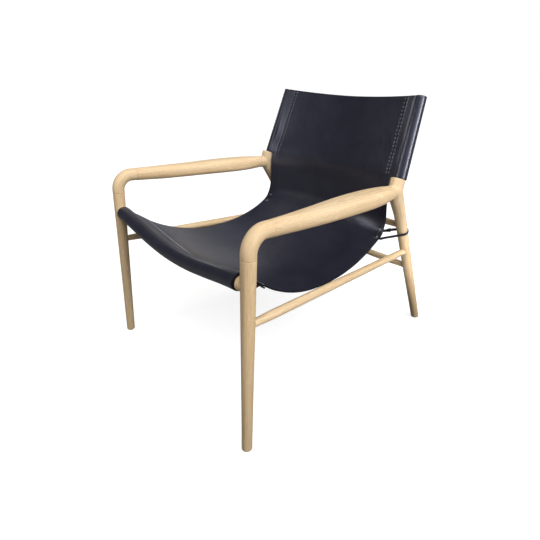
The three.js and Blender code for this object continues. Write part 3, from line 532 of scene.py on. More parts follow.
def plain_detail(name, low, high, roughness, scale, distance, metallic=0.0):
    """A small part's material: clouds of tone, and fine unevenness in gloss and relief."""
    n = material_nodes(name)
    where = n.where()
    cloud = n.noise(where, scale, 4.0, 0.6)
    fine = n.noise(where, scale * 8, 2.0, 0.5)
    base = n.blend(n.ramp(cloud, 0.3, 0.7), low, high)
    rough = n.ramp(fine, 0.2, 0.8, roughness - 0.06, roughness + 0.08)
    n.shader.inputs["Metallic"].default_value = metallic
    return n.finish(Base_Color=base, Roughness=rough, Normal=n.bump(fine, distance, 0.5))


oak_member = oak("soaped_oak")
oak_hidden = oak("soaped_oak_pegs", follows_member=False)
leather_front = leather("saddle_leather", colour(33, 34, 45), colour(42, 43, 56), 0.27, 0.36,
                        gloss=0.72)
leather_back = leather("leather_flesh_side", colour(50, 48, 54), colour(66, 62, 66), 0.72, 0.86,
                       0.0003)
# Cut edges: near-black, partly edge dye and partly painted shade, also laid over the roll's ends
leather_edge_dye_and_shade = leather("leather_cut_edge_dye_and_shade", colour(7, 7, 9), colour(17, 16, 20), 0.6, 0.75,
                       0.0003, gloss=0.25)
lace_leather = leather("lace_leather", colour(10, 10, 13), colour(20, 20, 25), 0.40, 0.52)
# The thread's light grey is a painted highlight on dark waxed thread
thread_painted_highlight = plain_detail("waxed_thread_painted_highlight", colour(116, 116, 128), colour(150, 149, 158), 0.5, 900.0,
                      0.00015)
nickel = plain_detail("dull_nickel", colour(165, 165, 170), colour(190, 190, 193), 0.36, 400.0,
                      0.00004, 1.0)
nylon = plain_detail("moulded_nylon", colour(38, 38, 38), colour(50, 50, 50), 0.6, 300.0, 0.0001)

# Stage and light
WHITE = (1.0, 1.0, 1.0, 1.0)
FLOOR_SIZE, FLOOR_CELLS = 60.0, 8
FLOOR_BOUNCE, FLOOR_SEEN, FLOOR_GLOW = 0.2, 0.5, 0.74
ROOM_BRIGHT_WAY, ROOM_LEVELS, ROOM_DARK_FROM = (-0.67, 0.74, 0.0), (0.07, 0.58), 0.6
OVERHEAD_PLACE, OVERHEAD_ANGLE, OVERHEAD_STRENGTH = (0.7, -0.7, 2.6), 60.0, 1.65
# Each lamp's place and target in m, its width and height, watts, and spread in degrees
SOFTBOXES = {
    "high_softbox": ((3.1, -0.3, 3.7), (0.1, 0.0, 0.8), (4.5, 3.5), 26.0, 60.0),
    "side_strip": ((4.6, 0.75, 2.0), (0.28, 0.26, 0.8), (1.2, 1.6), 12.0, 50.0),
    "rear_leg_fill": ((1.47, -0.48, 0.32), (0.27, 0.42, 0.32), (0.2, 0.26), 0.25, 14.0),
    "front_strip": ((-0.5, -2.4, 1.48), (-0.25, 0.22, 0.62), (0.4, 0.6), 8.0, 180.0),
    "flank_strip": ((-2.3, 0.3, 1.27), (0.27, 0.2, 0.65), (0.5, 0.8), 0.26, 40.0),
    "sleeve_spot": ((-0.55, -0.9, 1.25), (0.277, 0.2, 0.635), (0.25, 0.25), 0.028, 14.0),
    "corner_spot": ((-0.665, -0.5, 0.88), (0.207, 0.177, 0.412), (0.12, 0.12), 0.0035, 9.0),
}


def make_stage():
    """A pale floor: the lens sees it bright with a weak shadow, and it gives little light back."""
    bpy.ops.mesh.primitive_grid_add(x_subdivisions=FLOOR_CELLS, y_subdivisions=FLOOR_CELLS,
                                    size=FLOOR_SIZE)
    floor = bpy.context.object
    floor.name = "floor"
    n = material_nodes("pale_floor")
    rays = n.camera_ray()
    tone = n.ramp(rays, 0.0, 1.0, FLOOR_BOUNCE, FLOOR_SEEN, "LINEAR")
    glow = n.ramp(rays, 0.0, 1.0, 0.0, FLOOR_GLOW, "LINEAR")
    n.shader.inputs["Emission Color"].default_value = WHITE
    n.shader.inputs["Specular IOR Level"].default_value = 0.0
    floor.data.materials.append(
        n.finish(Base_Color=tone, Roughness=0.95, Emission_Strength=glow))


def make_world():
    """A white backdrop that the lens sees, and a dim room with one brighter side."""
    scene = bpy.context.scene
    scene.view_settings.view_transform = "Standard"
    scene.world = bpy.data.worlds.new("studio")
    n = Nodes(scene.world, "Background")
    towards = n.of_two("ShaderNodeVectorMath", "DOT_PRODUCT", n.where("Generated"),
                       ROOM_BRIGHT_WAY)["Value"]
    room = n.ramp(towards, ROOM_DARK_FROM, 1.0, *ROOM_LEVELS, "LINEAR")
    n.finish(Color=WHITE, Strength=n.ramp(n.camera_ray(), 0.0, 1.0, room, 1.0, "LINEAR"))


def lamp(name, kind, place, target):
    data = bpy.data.lights.new(name, kind)
    obj = bpy.data.objects.new(name, data)
    bpy.context.scene.collection.objects.link(obj)
    obj.location = place
    obj.rotation_euler = (Vector(place) - Vector(target)).to_track_quat("Z", "Y").to_euler()
    return obj, data


def make_lights():
    _, overhead = lamp("overhead", "SUN", OVERHEAD_PLACE, (0, 0, 0))
    overhead.angle = math.radians(OVERHEAD_ANGLE)
    overhead.energy = OVERHEAD_STRENGTH
    for name, (place, target, size, watts, spread) in SOFTBOXES.items():
        obj, data = lamp(name, "AREA", place, target)
        data.shape = "RECTANGLE"
        data.size, data.size_y = size
        data.energy = watts
        data.spread = math.radians(spread)
        obj.visible_camera = False


make_stage()
make_world()
make_lights()


# Pieces on the chair's body
def keep(obj, slot, *nodes):
    """Rides a piece on the chair's body, in place of the named solids."""
    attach(obj, "root")
    if nodes:
        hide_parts(*nodes)
    return obj


def both_sides(obj, slot, *stems):
    """Keeps a left piece and its mirror image, each in place of its solids."""
    twin = mirror(obj, f"{obj.name}_right")
    obj.name = obj.data.name = f"{obj.name}_left"
    keep(obj, slot, *[f"{s}_left" for s in stems])
    keep(twin, slot, *[f"{s}_right" for s in stems])
    return obj, twin


def oak_pair(obj, path, seed, stem):
    """Gives a left member its grain, and keeps it and its mirror image."""
    store_grain(obj, path, seed)
    both_sides(obj, "oak", stem)


# Oak members
WOOD_SIDES, RUNG_SIDES, RAIL_SIDES, ARM_SIDES = 56, 40, 48, 64
# A flat end is smaller than its member, and so is the ring just before it
ARRIS_BACK, ARRIS_INSET, END_INSET = 0.3, 0.12, 0.5
FOOT_ROUND, POST_TOP_ROUND = 2.2, 4
LEG_RINGS, BEND_RINGS, BLOCK_RINGS, ARM_RINGS, STUB_RINGS = 44, 22, 40, 90, 26
POST_RINGS, RUNG_RINGS, RAIL_RINGS = 20, 60, 90
# How far a rung's end lies inside its leg
RUNG_SUNK = 5
# Voxels of the merged skins, and where and how far their members run into each other
FRONT_LEG_VOXEL, BOSS_BLEND_BACK, BOSS_BLEND, BOSS_BLEND_ROUNDS = 1.3, 7, 26, 14
REAR_LEG_VOXEL, HEAD_BLEND_LEAD, HEAD_BLEND, HEAD_BLEND_ROUNDS = 1.2, 16, 46, 16
# Where the rings begin above a foot
FRONT_LEG_START, REAR_LEG_START = 14, 22
# How far behind the boss's face each ring lies, and how much less than the boss its radius is
BOSS_PROFILE = [(9, 2.2), (5.5, 0.4), (3.6, 0), (2.0, 0.4), (0.9, 1.5), (FIT_GAP, 3.0)]
LEG_TRAVEL = unit(knee - front_foot)
leg_length = np.linalg.norm(knee - front_foot)
front_leg_top = leg_length - KNEE_BLOCK_LEG - FIT_GAP / 2


def front_leg_radius(distance):
    return mix(FRONT_FOOT_D, FRONT_LEG_D, np.clip(distance / leg_length, 0, 1) ** FRONT_TAPER) / 2


def rear_leg_radius(distance):
    share = np.clip(distance / np.linalg.norm(junction - rear_foot), 0, 1)
    return mix(REAR_FOOT_D, REAR_LEG_D, share) / 2


def on_front_leg(height):
    """A place on the front leg's axis, and the leg's radius there."""
    place = at_height(front_foot, knee, height)
    return place, front_leg_radius(np.linalg.norm(place - front_foot))


def on_rear_leg(height):
    place = at_height(rear_foot, junction, height)
    return place, rear_leg_radius(np.linalg.norm(place - rear_foot))


def flat_ends(start, inner, end=None):
    """Stations of a member with their insets: the start's arris is broken, and the end's if the
    end is given."""
    stations = [(start, END_INSET), (start + ARRIS_BACK, ARRIS_INSET)]
    stations += [(distance, 0.0) for distance in inner]
    if end is not None:
        stations += [(end - ARRIS_BACK, ARRIS_INSET), (end, END_INSET)]
    return stations


def level(points, travel, height):
    return points + np.outer((height - points[:, 2]) / travel[2], travel)


def quarter_round(radius, count):
    """Pairs of lengths that trace a quarter circle, from (radius, 0) to (0, radius)."""
    angles = np.linspace(0, math.pi / 2, count)
    return [(radius * (1 - math.sin(a)), radius * (1 - math.cos(a))) for a in angles]


def foot_rings(foot, travel, diameter):
    """Level rings of a foot: its sole and the round that leads into the leg."""
    rings = []
    for inset, rise in quarter_round(FOOT_ROUND, 6):
        flat = round_ring(foot, travel, diameter / 2 - inset, WOOD_SIDES)
        rings.append(level(flat, travel, FOOT_BOTTOM + rise))
    return rings


RAIL_HEIGHT = KNEE_HEIGHT - RAIL_DROP
rail_end, radius_at_rail = on_front_leg(RAIL_HEIGHT)
boss_face = rail_end[0] - radius_at_rail - BOSS_LENGTH


def front_leg():
    rings = foot_rings(front_foot, LEG_TRAVEL, FRONT_FOOT_D)
    stops = [(d, front_leg_radius(d))
             for d in np.linspace(FRONT_LEG_START, front_leg_top - 2 * ARRIS_BACK, LEG_RINGS)]
    top_radius = front_leg_radius(front_leg_top)
    stops += [(front_leg_top - ARRIS_BACK, top_radius - ARRIS_INSET),
              (front_leg_top, top_radius - END_INSET)]
    rings += straight_rings(front_foot, LEG_TRAVEL, stops, WOOD_SIDES)
    reach = rail_end[0] - boss_face
    profile = [(0, 4)] + [(reach - back, less) for back, less in BOSS_PROFILE]
    boss = straight_rings(rail_end, -X_AXIS, [(d, BOSS_D / 2 - less) for d, less in profile],
                          WOOD_SIDES)
    obj = merged("front_leg_wood", [shell(rings), shell(boss)], FRONT_LEG_VOXEL, oak_member)
    relax(obj, rail_end - X_AXIS * (reach - BOSS_BLEND_BACK), BOSS_BLEND, BOSS_BLEND_ROUNDS)
    oak_pair(obj, [front_foot, along(front_foot, knee, front_leg_top)], 3, "front_leg")


def bent_path(start, corner, end, radius):
    """A way along two straight lines and the arc between them: a function that gives place and
    travel at a distance, the whole length, and the length up to the arc."""
    before, after = unit(corner - start), unit(end - corner)
    turn = math.acos(np.clip(before @ after, -1, 1))
    axis = unit(np.cross(before, after))
    tangent = radius * math.tan(turn / 2)
    inward = np.cross(axis, before)
    arc_start = corner - before * tangent
    centre = arc_start + inward * radius
    straight = np.linalg.norm(arc_start - start)
    rest = np.linalg.norm(end - corner) - tangent
    swung = lambda v, a: v * math.cos(a) + np.cross(axis, v) * math.sin(a)
    total = straight + radius * turn + rest

    def at(distance):
        if distance < straight:
            return start + before * distance, before
        if distance > straight + radius * turn:
            return end - after * (total - distance), after
        angle = (distance - straight) / radius
        return centre - swung(inward, angle) * radius, swung(before, angle)

    return at, total, straight


ARM_TABLE_SHARES = [
    [0.0, 0.52, 0.83, 0.83, 0],
    [0.1, 0.53, 0.84, 0.88, 0],
    [0.18, 0.56, 0.87, 0.94, 0.15],
    [0.26, 0.65, 0.91, 1.0, 0.4],
    [0.35, 0.79, 0.93, 0.99, 0.7],
    [0.44, 0.92, 0.97, 0.96, 0.95],
    [0.53, 0.99, 1.06, 0.95, 1],
    [0.62, 1.0, 1.13, 0.97, 1],
    [0.7, 0.99, 1.15, 0.97, 1],
    [0.77, 0.95, 1.15, 0.95, 0.95],
    [0.83, 0.87, 1.13, 0.9, 0.8],
    [0.88, 0.76, 1.09, 0.84, 0.55],
    [0.92, 0.63, 1.03, 0.77, 0.35],
]
FLARE_TABLE_SHARES = [
    [0.6, 0.94, 1.03, 0.82],
    [0.42, 0.96, 1.12, 0.85],
    [0.3, 0.98, 1.28, 0.95],
    [0.18, 1.0, 1.4, 1.2],
    [0.04, 1.0, 1.48, 1.65],
]
arm_length = np.linalg.norm(junction - knee)
arm_travel = unit(junction - knee)
arm_joint = arm_length - ARM_JOINT_SET_BACK
arm_table = [
    [d * arm_length, w * ARM_WIDTH / 2, u * ARM_THICKNESS / 2, b * ARM_THICKNESS / 2,
     mix(2.0, ARM_SQUARENESS, q)]
    for d, w, u, b, q in ARM_TABLE_SHARES
] + [
    [arm_length - a * HEAD_DEPTH, w * HEAD_WIDTH / 2, u * ARM_THICKNESS / 2,
     b * ARM_THICKNESS / 2, 2.0]
    for a, w, u, b in FLARE_TABLE_SHARES
]


def arm_rings(stations):
    rings = []
    _, second = section_axes(arm_travel)
    for distance, inset in stations:
        half, up, down, exponent = monotone(arm_table, distance)[0]
        centre = along(knee, junction, distance) + second * (down - up) / 2
        rings.append(ring(centre, arm_travel, half - inset, (up + down) / 2 - inset,
                          exponent, ARM_SIDES))
    return rings


def armrest():
    start, end = KNEE_BLOCK_ARM + FIT_GAP / 2, arm_joint - FIT_GAP / 2
    rings = arm_rings(flat_ends(start, np.linspace(start, end, ARM_RINGS)[1:-1], end))
    obj = lofted("armrest_wood", rings, oak_member)
    oak_pair(obj, [knee, junction], 11, "armrest")


def knee_block():
    start = along(knee, front_foot, KNEE_BLOCK_LEG - FIT_GAP / 2)
    end = along(knee, junction, KNEE_BLOCK_ARM - FIT_GAP / 2)
    at, total, _ = bent_path(start, knee, end, KNEE_RADIUS)
    first_radius = front_leg_radius(front_leg_top)
    last_half, last_up, _, _ = monotone(arm_table, KNEE_BLOCK_ARM)[0]
    rings, path = [], []
    for distance, inset in flat_ends(0, np.linspace(0.7, total - 0.7, BLOCK_RINGS), total):
        place, travel = at(distance)
        share = ease(distance / total)
        rings.append(ring(place, travel, mix(first_radius, last_half, share) - inset,
                          mix(first_radius, last_up, share) - inset, sides=WOOD_SIDES))
        path.append(place)
    obj = lofted("knee_block_wood", rings, oak_member)
    oak_pair(obj, path[1::3], 23, "knee_block")


def rear_leg():
    at, total, straight = bent_path(rear_foot, junction, shoulder, HEAD_BEND)
    depth_axis = section_axes(unit(post_top - junction))[1]
    rings = foot_rings(rear_foot, unit(junction - rear_foot), REAR_FOOT_D)

    def shape(distance, inset):
        place, travel = at(distance)
        grown = ease((distance - total + HEAD_FADE) / HEAD_FADE)
        radius = rear_leg_radius(distance)
        centre = place - depth_axis * HEAD_LEAD * grown
        return ring(centre, travel, mix(radius, HEAD_WIDTH / 2, grown) - inset,
                    mix(radius, HEAD_DEPTH / 2, grown) - inset, sides=WOOD_SIDES)

    below = np.linspace(REAR_LEG_START, straight, LEG_RINGS)
    bend = np.linspace(straight, total - HEAD_ROUND, BEND_RINGS)[1:]
    rings += [shape(distance, 0) for distance in np.concatenate([below, bend])]
    rings += [shape(total - back, inset)
              for back, inset in quarter_round(HEAD_ROUND, 6)[1:]]
    start = arm_joint + FIT_GAP / 2
    stub = arm_rings(flat_ends(start, np.linspace(start, arm_length - 1, STUB_RINGS)[1:]))
    obj = merged("rear_leg_wood", [shell(rings), shell(stub)], REAR_LEG_VOXEL, oak_member)
    relax(obj, junction - vec(0, HEAD_BLEND_LEAD, 0), HEAD_BLEND, HEAD_BLEND_ROUNDS)
    oak_pair(obj, [at(d)[0] for d in np.linspace(0, total, 30)], 37, "rear_leg")


def back_post():
    travel = unit(post_top - shoulder)
    stops = [(-6, POST_D / 2 - 2)]
    stops += [(d, mix(POST_D, POST_TOP_D, d / post_length) / 2)
              for d in np.linspace(FIT_GAP, post_length - POST_TOP_ROUND, POST_RINGS)]
    stops += [(post_length - back, POST_TOP_D / 2 - inset)
              for back, inset in quarter_round(POST_TOP_ROUND, 7)[1:]]
    rings = straight_rings(shoulder, travel, stops, RUNG_SIDES)
    obj = lofted("back_post_wood", rings, oak_member)
    oak_pair(obj, [shoulder, post_top], 41, "back_post")


def rung(name, start, end, radii, diameter, end_diameter):
    """A rung that tapers at both ends; radii are those of the legs that it runs into."""
    length = np.linalg.norm(end - start)
    travel = unit(end - start)
    far = mix(diameter, end_diameter, 0.5)
    table = [[0, end_diameter], [radii[0], end_diameter], [radii[0] + RUNG_TAPER, diameter],
             [length - radii[1] - RUNG_TAPER, far], [length - radii[1], end_diameter],
             [length, end_diameter]]
    places = np.linspace(radii[0] - RUNG_SUNK, length - radii[1] + RUNG_SUNK, RUNG_RINGS)
    widths = monotone(table, places)[:, 0] / 2
    rings = straight_rings(start, travel, zip(places, widths), RUNG_SIDES)
    return lofted(name, rings, oak_member)


def rungs():
    start, front_radius = on_front_leg(STRETCHER_FRONT)
    end, rear_radius = on_rear_leg(STRETCHER_REAR)
    obj = rung("side_stretcher_wood", start, end, (front_radius, rear_radius), STRETCHER_D,
               STRETCHER_END_D)
    oak_pair(obj, [start, end], 53, "side_stretcher")
    for seed, (name, height) in enumerate(REAR_RAILS.items(), 61):
        left, radius = on_rear_leg(height)
        right = left * vec(-1, 1, 1)
        obj = rung(f"rear_rail_{name}_wood", left, right, (radius, radius), REAR_RAIL_D,
                   REAR_RAIL_END_D)
        store_grain(obj, [left, right], seed)
        keep(obj, "oak", f"rear_rail_{name}")


def rail_shape(x):
    return np.maximum(0, 1 - (x / boss_face) ** 2) ** RAIL_DIP_POWER


def rail_centre(x):
    return vec(x, rail_end[1], RAIL_HEIGHT - RAIL_DIP * rail_shape(x))


def front_rail():
    half = boss_face - FIT_GAP
    forward, step, bevel = vec(0, -1, 0), 0.5, 0.5
    places = np.linspace(-half, half, RAIL_RINGS)
    places = [places[0], places[0] + bevel, *places[1:-1], places[-1] - bevel, places[-1]]
    rings = []
    for i, x in enumerate(places):
        ahead, behind = np.clip([x + step, x - step], -half, half)
        travel = unit(rail_centre(ahead) - rail_centre(behind))
        inset = bevel if i in (0, len(places) - 1) else 0.0
        rings.append(round_ring(rail_centre(x), travel, RAIL_D / 2 - inset, RAIL_SIDES, forward))
    obj = lofted("front_rail_wood", rings, oak_member)
    store_grain(obj, [rail_centre(x) for x in np.linspace(-half, half, 15)], 71, forward)
    keep(obj, "oak", "front_rail")


front_leg()
armrest()
knee_block()
rear_leg()
back_post()
rungs()
front_rail()

# The leather sheet
# Rows of the seat, as shares: reach, drop, half width, sag, bow, fade from the rail's curve
SEAT_TABLE_SHARES = [
    [0.082, 0.14, 1.0, 1.0, 0.0, 0.0],
    [0.141, 0.387, 1.0, 0.94, 0.0, 0.3],
    [0.225, 0.631, 1.0, 0.89, 0.0, 0.7],
    [0.314, 0.811, 0.99, 0.86, 0.0, 1.0],
    [0.432, 0.952, 0.969, 0.85, 0.0, 1.0],
    [0.563, 1.0, 0.95, 0.85, 0.0, 1.0],
    [0.693, 0.955, 0.931, 0.83, 0.02, 1.0],
    [0.829, 0.784, 0.912, 0.76, 0.13, 1.0],
    [0.928, 0.55, 0.897, 0.62, 0.34, 1.0],
    [0.963, 0.405, 0.893, 0.45, 0.51, 1.0],
    [0.985, 0.234, 0.887, 0.3, 0.62, 1.0],
    [0.996, 0.108, 0.885, 0.2, 0.7, 1.0],
    [1.0, -0.234, 0.873, 0.12, 0.82, 1.0],
    [1.002, -0.68, 0.866, 0.2, 0.89, 1.0],
]
CORNER_ROW = 8
PANEL_EDGE_SHARE = 0.865
# From layer to layer of the leather, middle to middle
PITCH = LEATHER + 0.15
ROLL_RADIUS = RAIL_D / 2 + LEATHER_GAP + LEATHER / 2
SEAM_ROWS = (37.5, 48.0)
HEM_ROWS = (66.0, 75.0)
CORNER_FILLET = 7.0
SLEEVE_VALLEYS = (math.radians(40), math.radians(24))
SEAM_DEPTHS, SEAM_FADE = (6.5, 4.6), 180.0
HEM_SLACK, HEM_BELLY = 0.6, 8.0
# How far in from each end the roll gets the cut edge's near-black: edge dye and painted shade of the
# gap at the boss
ROLL_END_DYE_AND_SHADE = 7.0
ROLL_CREASE = [[0, 0], [5, 0.65], [10, 2.6], [14, 4.2], [18, 4.7], [24, 4.3], [40, 2.4],
               [60, 0.7], [75, 0]]
END_CURL, END_CURL_LENGTH = 1.2, 4.0
# Where the sheet's columns lie: inward of the panel's edge, and inward of the post's front
EDGE_COLUMNS = [0.8, 1.8, 3, 4.5]
SEAM_COLUMNS = [33.5, 35.2, 36.4, 37.0, 37.5, 38.0, 38.6, 39.8, 42, 45, 46.6, 47.4, 48.0, 48.6,
                49.4, 51, 54, 60, 68, 78]
CENTRE_FROM, CENTRE_COLUMNS = 90, 20
# Where the lace pulls at the sheet: from the middle, and as shares of the reach and the drop
PULL_PLACE, PULL_REACH, PULL = (255, 0.96, 0.4), (34, 26, 26), (1.5, 4.5, -1.2)
NORMAL_STEP = 2.0
# The seams sink in from this far below the sleeve, over this length
SEAMS_BEFORE, SEAMS_OVER = 60.0, 75.0
# Where the unevenness sets in and over what length: from the sides, and from the roll
WAVER_FROM_SIDE, WAVER_FROM_ROLL, WAVER_TOP_FADE = (20.0, 60.0), (30.0, 80.0), 60.0
# How far the corners of the leather's folds are rounded
ROLL_SOFT, SLEEVE_SOFT, VALLEY_SOFT = 9.0, 7.0, 1.6
ROLL_POINTS, SLEEVE_POINTS, SLEEVE_ROWS = 64, 54, 36

post_travel = unit(post_top - shoulder)
POST_LATERAL, POST_DEPTH = section_axes(post_travel)
SHOULDER_INWARD = shoulder[0] - PANEL_EDGE_SHARE * SLING_WIDTH / 2
sleeve_end = post_length - SLEEVE_TOP_DROP


def sleeve_radius(distance):
    return mix(POST_D, POST_TOP_D, distance / post_length) / 2 + LEATHER_GAP + LEATHER / 2


def sleeve_front(distance):
    return along(shoulder, post_top, distance) - POST_DEPTH * sleeve_radius(distance)


seat_reach = sleeve_front(0)[1] - rail_end[1]
tail_run = SEAT_TABLE_SHARES[0][0] * seat_reach
tail_fall = SEAT_TABLE_SHARES[0][1] * SLING_DROP
TAIL_SLOPE = math.atan2(tail_fall, tail_run) + math.asin(ROLL_RADIUS / math.hypot(tail_run, tail_fall))
TAIL = vec(0, math.cos(TAIL_SLOPE), -math.sin(TAIL_SLOPE))
TAIL_NORMAL = vec(0, math.sin(TAIL_SLOPE), math.cos(TAIL_SLOPE))
tail_length = math.sqrt(tail_run**2 + tail_fall**2 - ROLL_RADIUS**2)


def sling_knots():
    """Rows of the sheet: half width, edge y, edge z, sag, bow, fade of the rail's curve, and
    the half width over which the middle hangs."""
    half = SLING_WIDTH / 2
    lift = TAIL_NORMAL * ROLL_RADIUS
    rows = []
    for share in (0.0, 0.5):
        offset = lift + TAIL * share * tail_length
        rows.append([half, rail_end[1] + offset[1], RAIL_HEIGHT + offset[2], RAIL_DIP, 0, 0, half])
    for reach, drop, width, sag, bow, faded in SEAT_TABLE_SHARES:
        rows.append([width * half, rail_end[1] + reach * seat_reach,
                     RAIL_HEIGHT - drop * SLING_DROP, sag * RAIL_DIP, bow * SLING_BOW, faded,
                     width * half])
    bow, sag = POST_DEPTH[1] * SLING_BOW, -POST_DEPTH[2] * SLING_BOW
    for share in (0.0, 0.25, 0.5, 1.0):
        front = sleeve_front(share * sleeve_end)
        rows.append([front[0] - SHOULDER_INWARD, front[1], front[2], sag, bow, 1, front[0]])
    return np.array(rows)


TAIL_KNOTS, SLEEVE_KNOTS = 2, 4
knots = sling_knots()
run = distances(knots[:, 1:3])
shoulder_run = run[-SLEEVE_KNOTS]
end_run = run[-1]


def row_values(places):
    """The sheet's rows at distances from the top of the roll, along its edge."""
    places = np.atleast_1d(places)
    first = TAIL[1:3]
    last = post_travel[1:3] / np.linalg.norm(post_travel[1:3])
    line = spline(run, knots[:, 1:3], places, first, last)
    rest = monotone(np.column_stack([run, knots[:, [0, 3, 4, 5, 6]]]), places)
    return np.column_stack([rest[:, 0], line, rest[:, 1:]])


def hung_points(values, xs):
    """Points of the smooth sheet on one row, at distances from the chair's middle."""
    half, y, z, sag, bow, faded, hung_half = values
    edge_shape = rail_shape(half)
    rail_weight = (rail_shape(xs) - edge_shape) / (1 - edge_shape)
    hung = np.cos(np.minimum(1.0, np.abs(xs) / hung_half) * math.pi / 2) ** SAG_POWER
    weight = mix(rail_weight, hung, faded)
    return np.column_stack([xs, y + bow * weight, z - sag * weight])


def hung_normals(place, xs):
    """The smooth sheet's normals on the sitter's side."""
    if place <= 1:
        return np.tile(TAIL_NORMAL, (len(xs), 1))
    low, here, high = row_values([place - NORMAL_STEP, place, place + NORMAL_STEP])
    upward = hung_points(high, xs) - hung_points(low, xs)
    sideways = hung_points(here, xs + NORMAL_STEP) - hung_points(here, xs - NORMAL_STEP)
    normals = np.cross(sideways, upward)
    return normals / np.linalg.norm(normals, axis=1)[:, None]


def groove(distance, centre, depth=0.25, width=1.5):
    return depth * np.exp(-(((distance - centre) / width) ** 2))


def waver(place, xs):
    """Slow unevenness of thick leather that has been sat on: waves with lengths in mm."""
    a = np.sin(place / 47.0 + xs / 83.0) * np.sin(xs / 61.0 - place / 118.0)
    b = np.sin(place / 23.0 - xs / 37.0 + 1.3) * np.sin(xs / 29.0 + place / 51.0)
    return 0.55 * a + 0.18 * b


def climb(place):
    """Share of the way up the sleeve."""
    return np.clip((place - shoulder_run) / (end_run - shoulder_run), 0, 1)


def seam_sink(inward, place):
    """How far the panel lies behind the front of the post's tube, at a distance from the post."""
    radius = sleeve_radius(climb(place) * sleeve_end)
    valley = mix(*SLEEVE_VALLEYS, climb(place))
    first, start = radius * math.sin(valley), radius * (1 - math.cos(valley))
    share = np.clip((inward - first) / (SEAM_ROWS[0] - first), 0, 1)
    strip = mix(start, mix(*SEAM_DEPTHS, climb(place)), share)
    return strip * (1 - ease((inward - SEAM_ROWS[1]) / SEAM_FADE))


def panel(place, xs):
    """Points of the sheet's middle surface, with what the sleeves, seams and laces do to it."""
    values = row_values(place)[0]
    xs = np.atleast_1d(np.asarray(xs, float))
    inward = values[0] + SHOULDER_INWARD - np.abs(xs)
    on_sleeve = ease((place - shoulder_run + SEAMS_BEFORE) / SEAMS_OVER)
    sunk = on_sleeve * seam_sink(inward, place)
    sunk = sunk + on_sleeve * sum(groove(inward, seam) for seam in SEAM_ROWS)
    sunk = sunk + sum(groove(place, row) for row in HEM_ROWS) + monotone(ROLL_CREASE, place)[0, 0]
    fade = ease((inward - WAVER_FROM_SIDE[0]) / WAVER_FROM_SIDE[1])
    fade = fade * ease((place - WAVER_FROM_ROLL[0]) / WAVER_FROM_ROLL[1])
    fade = fade * ease((end_run - place) / WAVER_TOP_FADE + 0.2)
    offset = waver(place, xs) * fade - sunk
    points = hung_points(values, xs) + hung_normals(place, xs) * offset[:, None]
    return points + corner_pull(points)


def corner_pull(points):
    """The lace draws the corner back a little round its eyelets."""
    across, reach, drop = PULL_PLACE
    corner = vec(across, rail_end[1] + reach * seat_reach, RAIL_HEIGHT - drop * SLING_DROP)
    folded = np.abs(points * X_AXIS) + points * vec(0, 1, 1)
    gap = np.linalg.norm((folded - corner) / vec(*PULL_REACH), axis=1)
    pull = np.tile(vec(*PULL), (len(points), 1))
    pull[:, 0] *= np.sign(points[:, 0])
    return pull * np.exp(-gap * gap)[:, None]


def column_places(half, fillet):
    """Distances from the middle, outermost first, for one row."""
    inner = half + SHOULDER_INWARD
    steps = [SHOULDER_INWARD + step for step in EDGE_COLUMNS] + SEAM_COLUMNS
    outer = [inner - step for step in steps]
    centre = (inner - CENTRE_FROM) * np.linspace(1, 0, CENTRE_COLUMNS)
    xs = np.array([half + fillet] + outer + list(centre))
    return np.concatenate([xs, -xs[-2::-1]])


def row_places():
    """Where the panel's rows lie: closer at the hem's seams and at the corner under the sleeve."""
    hem = [row + step for row in HEM_ROWS for step in (-2.4, -1.2, 0, 1.2, 2.4)]
    seat = list(np.linspace(0, 32, 17)) + list(np.linspace(36, 60, 6)) + hem + [70.5]
    seat += list(np.linspace(80, shoulder_run - 60, 56))
    seat += list(np.linspace(shoulder_run - 54, shoulder_run - CORNER_FILLET, 11))
    fillet = [shoulder_run - back for back, _ in quarter_round(CORNER_FILLET, 8)[1:]]
    up_sleeve = np.linspace(4, end_run - shoulder_run, SLEEVE_ROWS - 1)
    sleeve = shoulder_run + np.concatenate([[FIT_GAP], up_sleeve])
    return np.array(sorted(seat) + fillet + list(sleeve))


def main_rows(places):
    rows = []
    for place, values in zip(places, row_values(places)):
        below = min(CORNER_FILLET, max(0.0, shoulder_run - place))
        grown = CORNER_FILLET - math.sqrt(CORNER_FILLET**2 - (CORNER_FILLET - below) ** 2)
        rows.append(panel(place, column_places(values[0], grown)))
    return np.array(rows)


def under_layer(place, xs):
    """Places of the hem's lower layer, which hangs a little slack under the seat."""
    slack = PITCH + HEM_SLACK * ease((place - HEM_HOLLOW) / (HEM_LENGTH - HEM_HOLLOW))
    return hung_points(row_values(place)[0], xs) - hung_normals(place, xs) * slack


def soften(line, corner, reach, rounds=5):
    """Rounds a line near one of its corners."""
    for _ in range(rounds):
        soft = line.copy()
        soft[1:-1] = (line[:-2] + 2 * line[1:-1] + line[2:]) / 4
        near = np.exp(-((np.linalg.norm(line - corner, axis=1) / reach) ** 2))[:, None]
        line = mix(line, soft, near)
    return line


def roll_column(x, layer):
    """One column of the roll, from the hem's end to the top of the rail."""
    forward, under = -TAIL, -TAIL_NORMAL
    centre = rail_centre(x)
    layer = flattened(layer, centre, forward, under)
    hollow = layer[0]
    start = -math.pi / 2
    end = math.atan2(hollow[1], hollow[0]) - math.acos(ROLL_RADIUS / np.linalg.norm(hollow))
    end = start + ((end - start) % (2 * math.pi))
    angles = np.linspace(start, end, 70)
    arc = np.column_stack([np.cos(angles), np.sin(angles)]) * ROLL_RADIUS
    belly = [mix(arc[-1], hollow, share) + vec(0, HEM_BELLY * math.sin(math.pi * share))
             for share in np.linspace(0, 1, 9)[1:-1]]
    line = soften(resample([*arc, *belly, *layer], 170), hollow, ROLL_SOFT)
    line = soften(line, arc[-1], ROLL_SOFT)
    line = resample(line[::-1], ROLL_POINTS + 1)[:-1]
    curl = ease((abs(x) - SLING_WIDTH / 2) / END_CURL_LENGTH + 1)
    line = line * (1 - END_CURL / ROLL_RADIUS * curl)
    return raised(line, centre, forward, under)


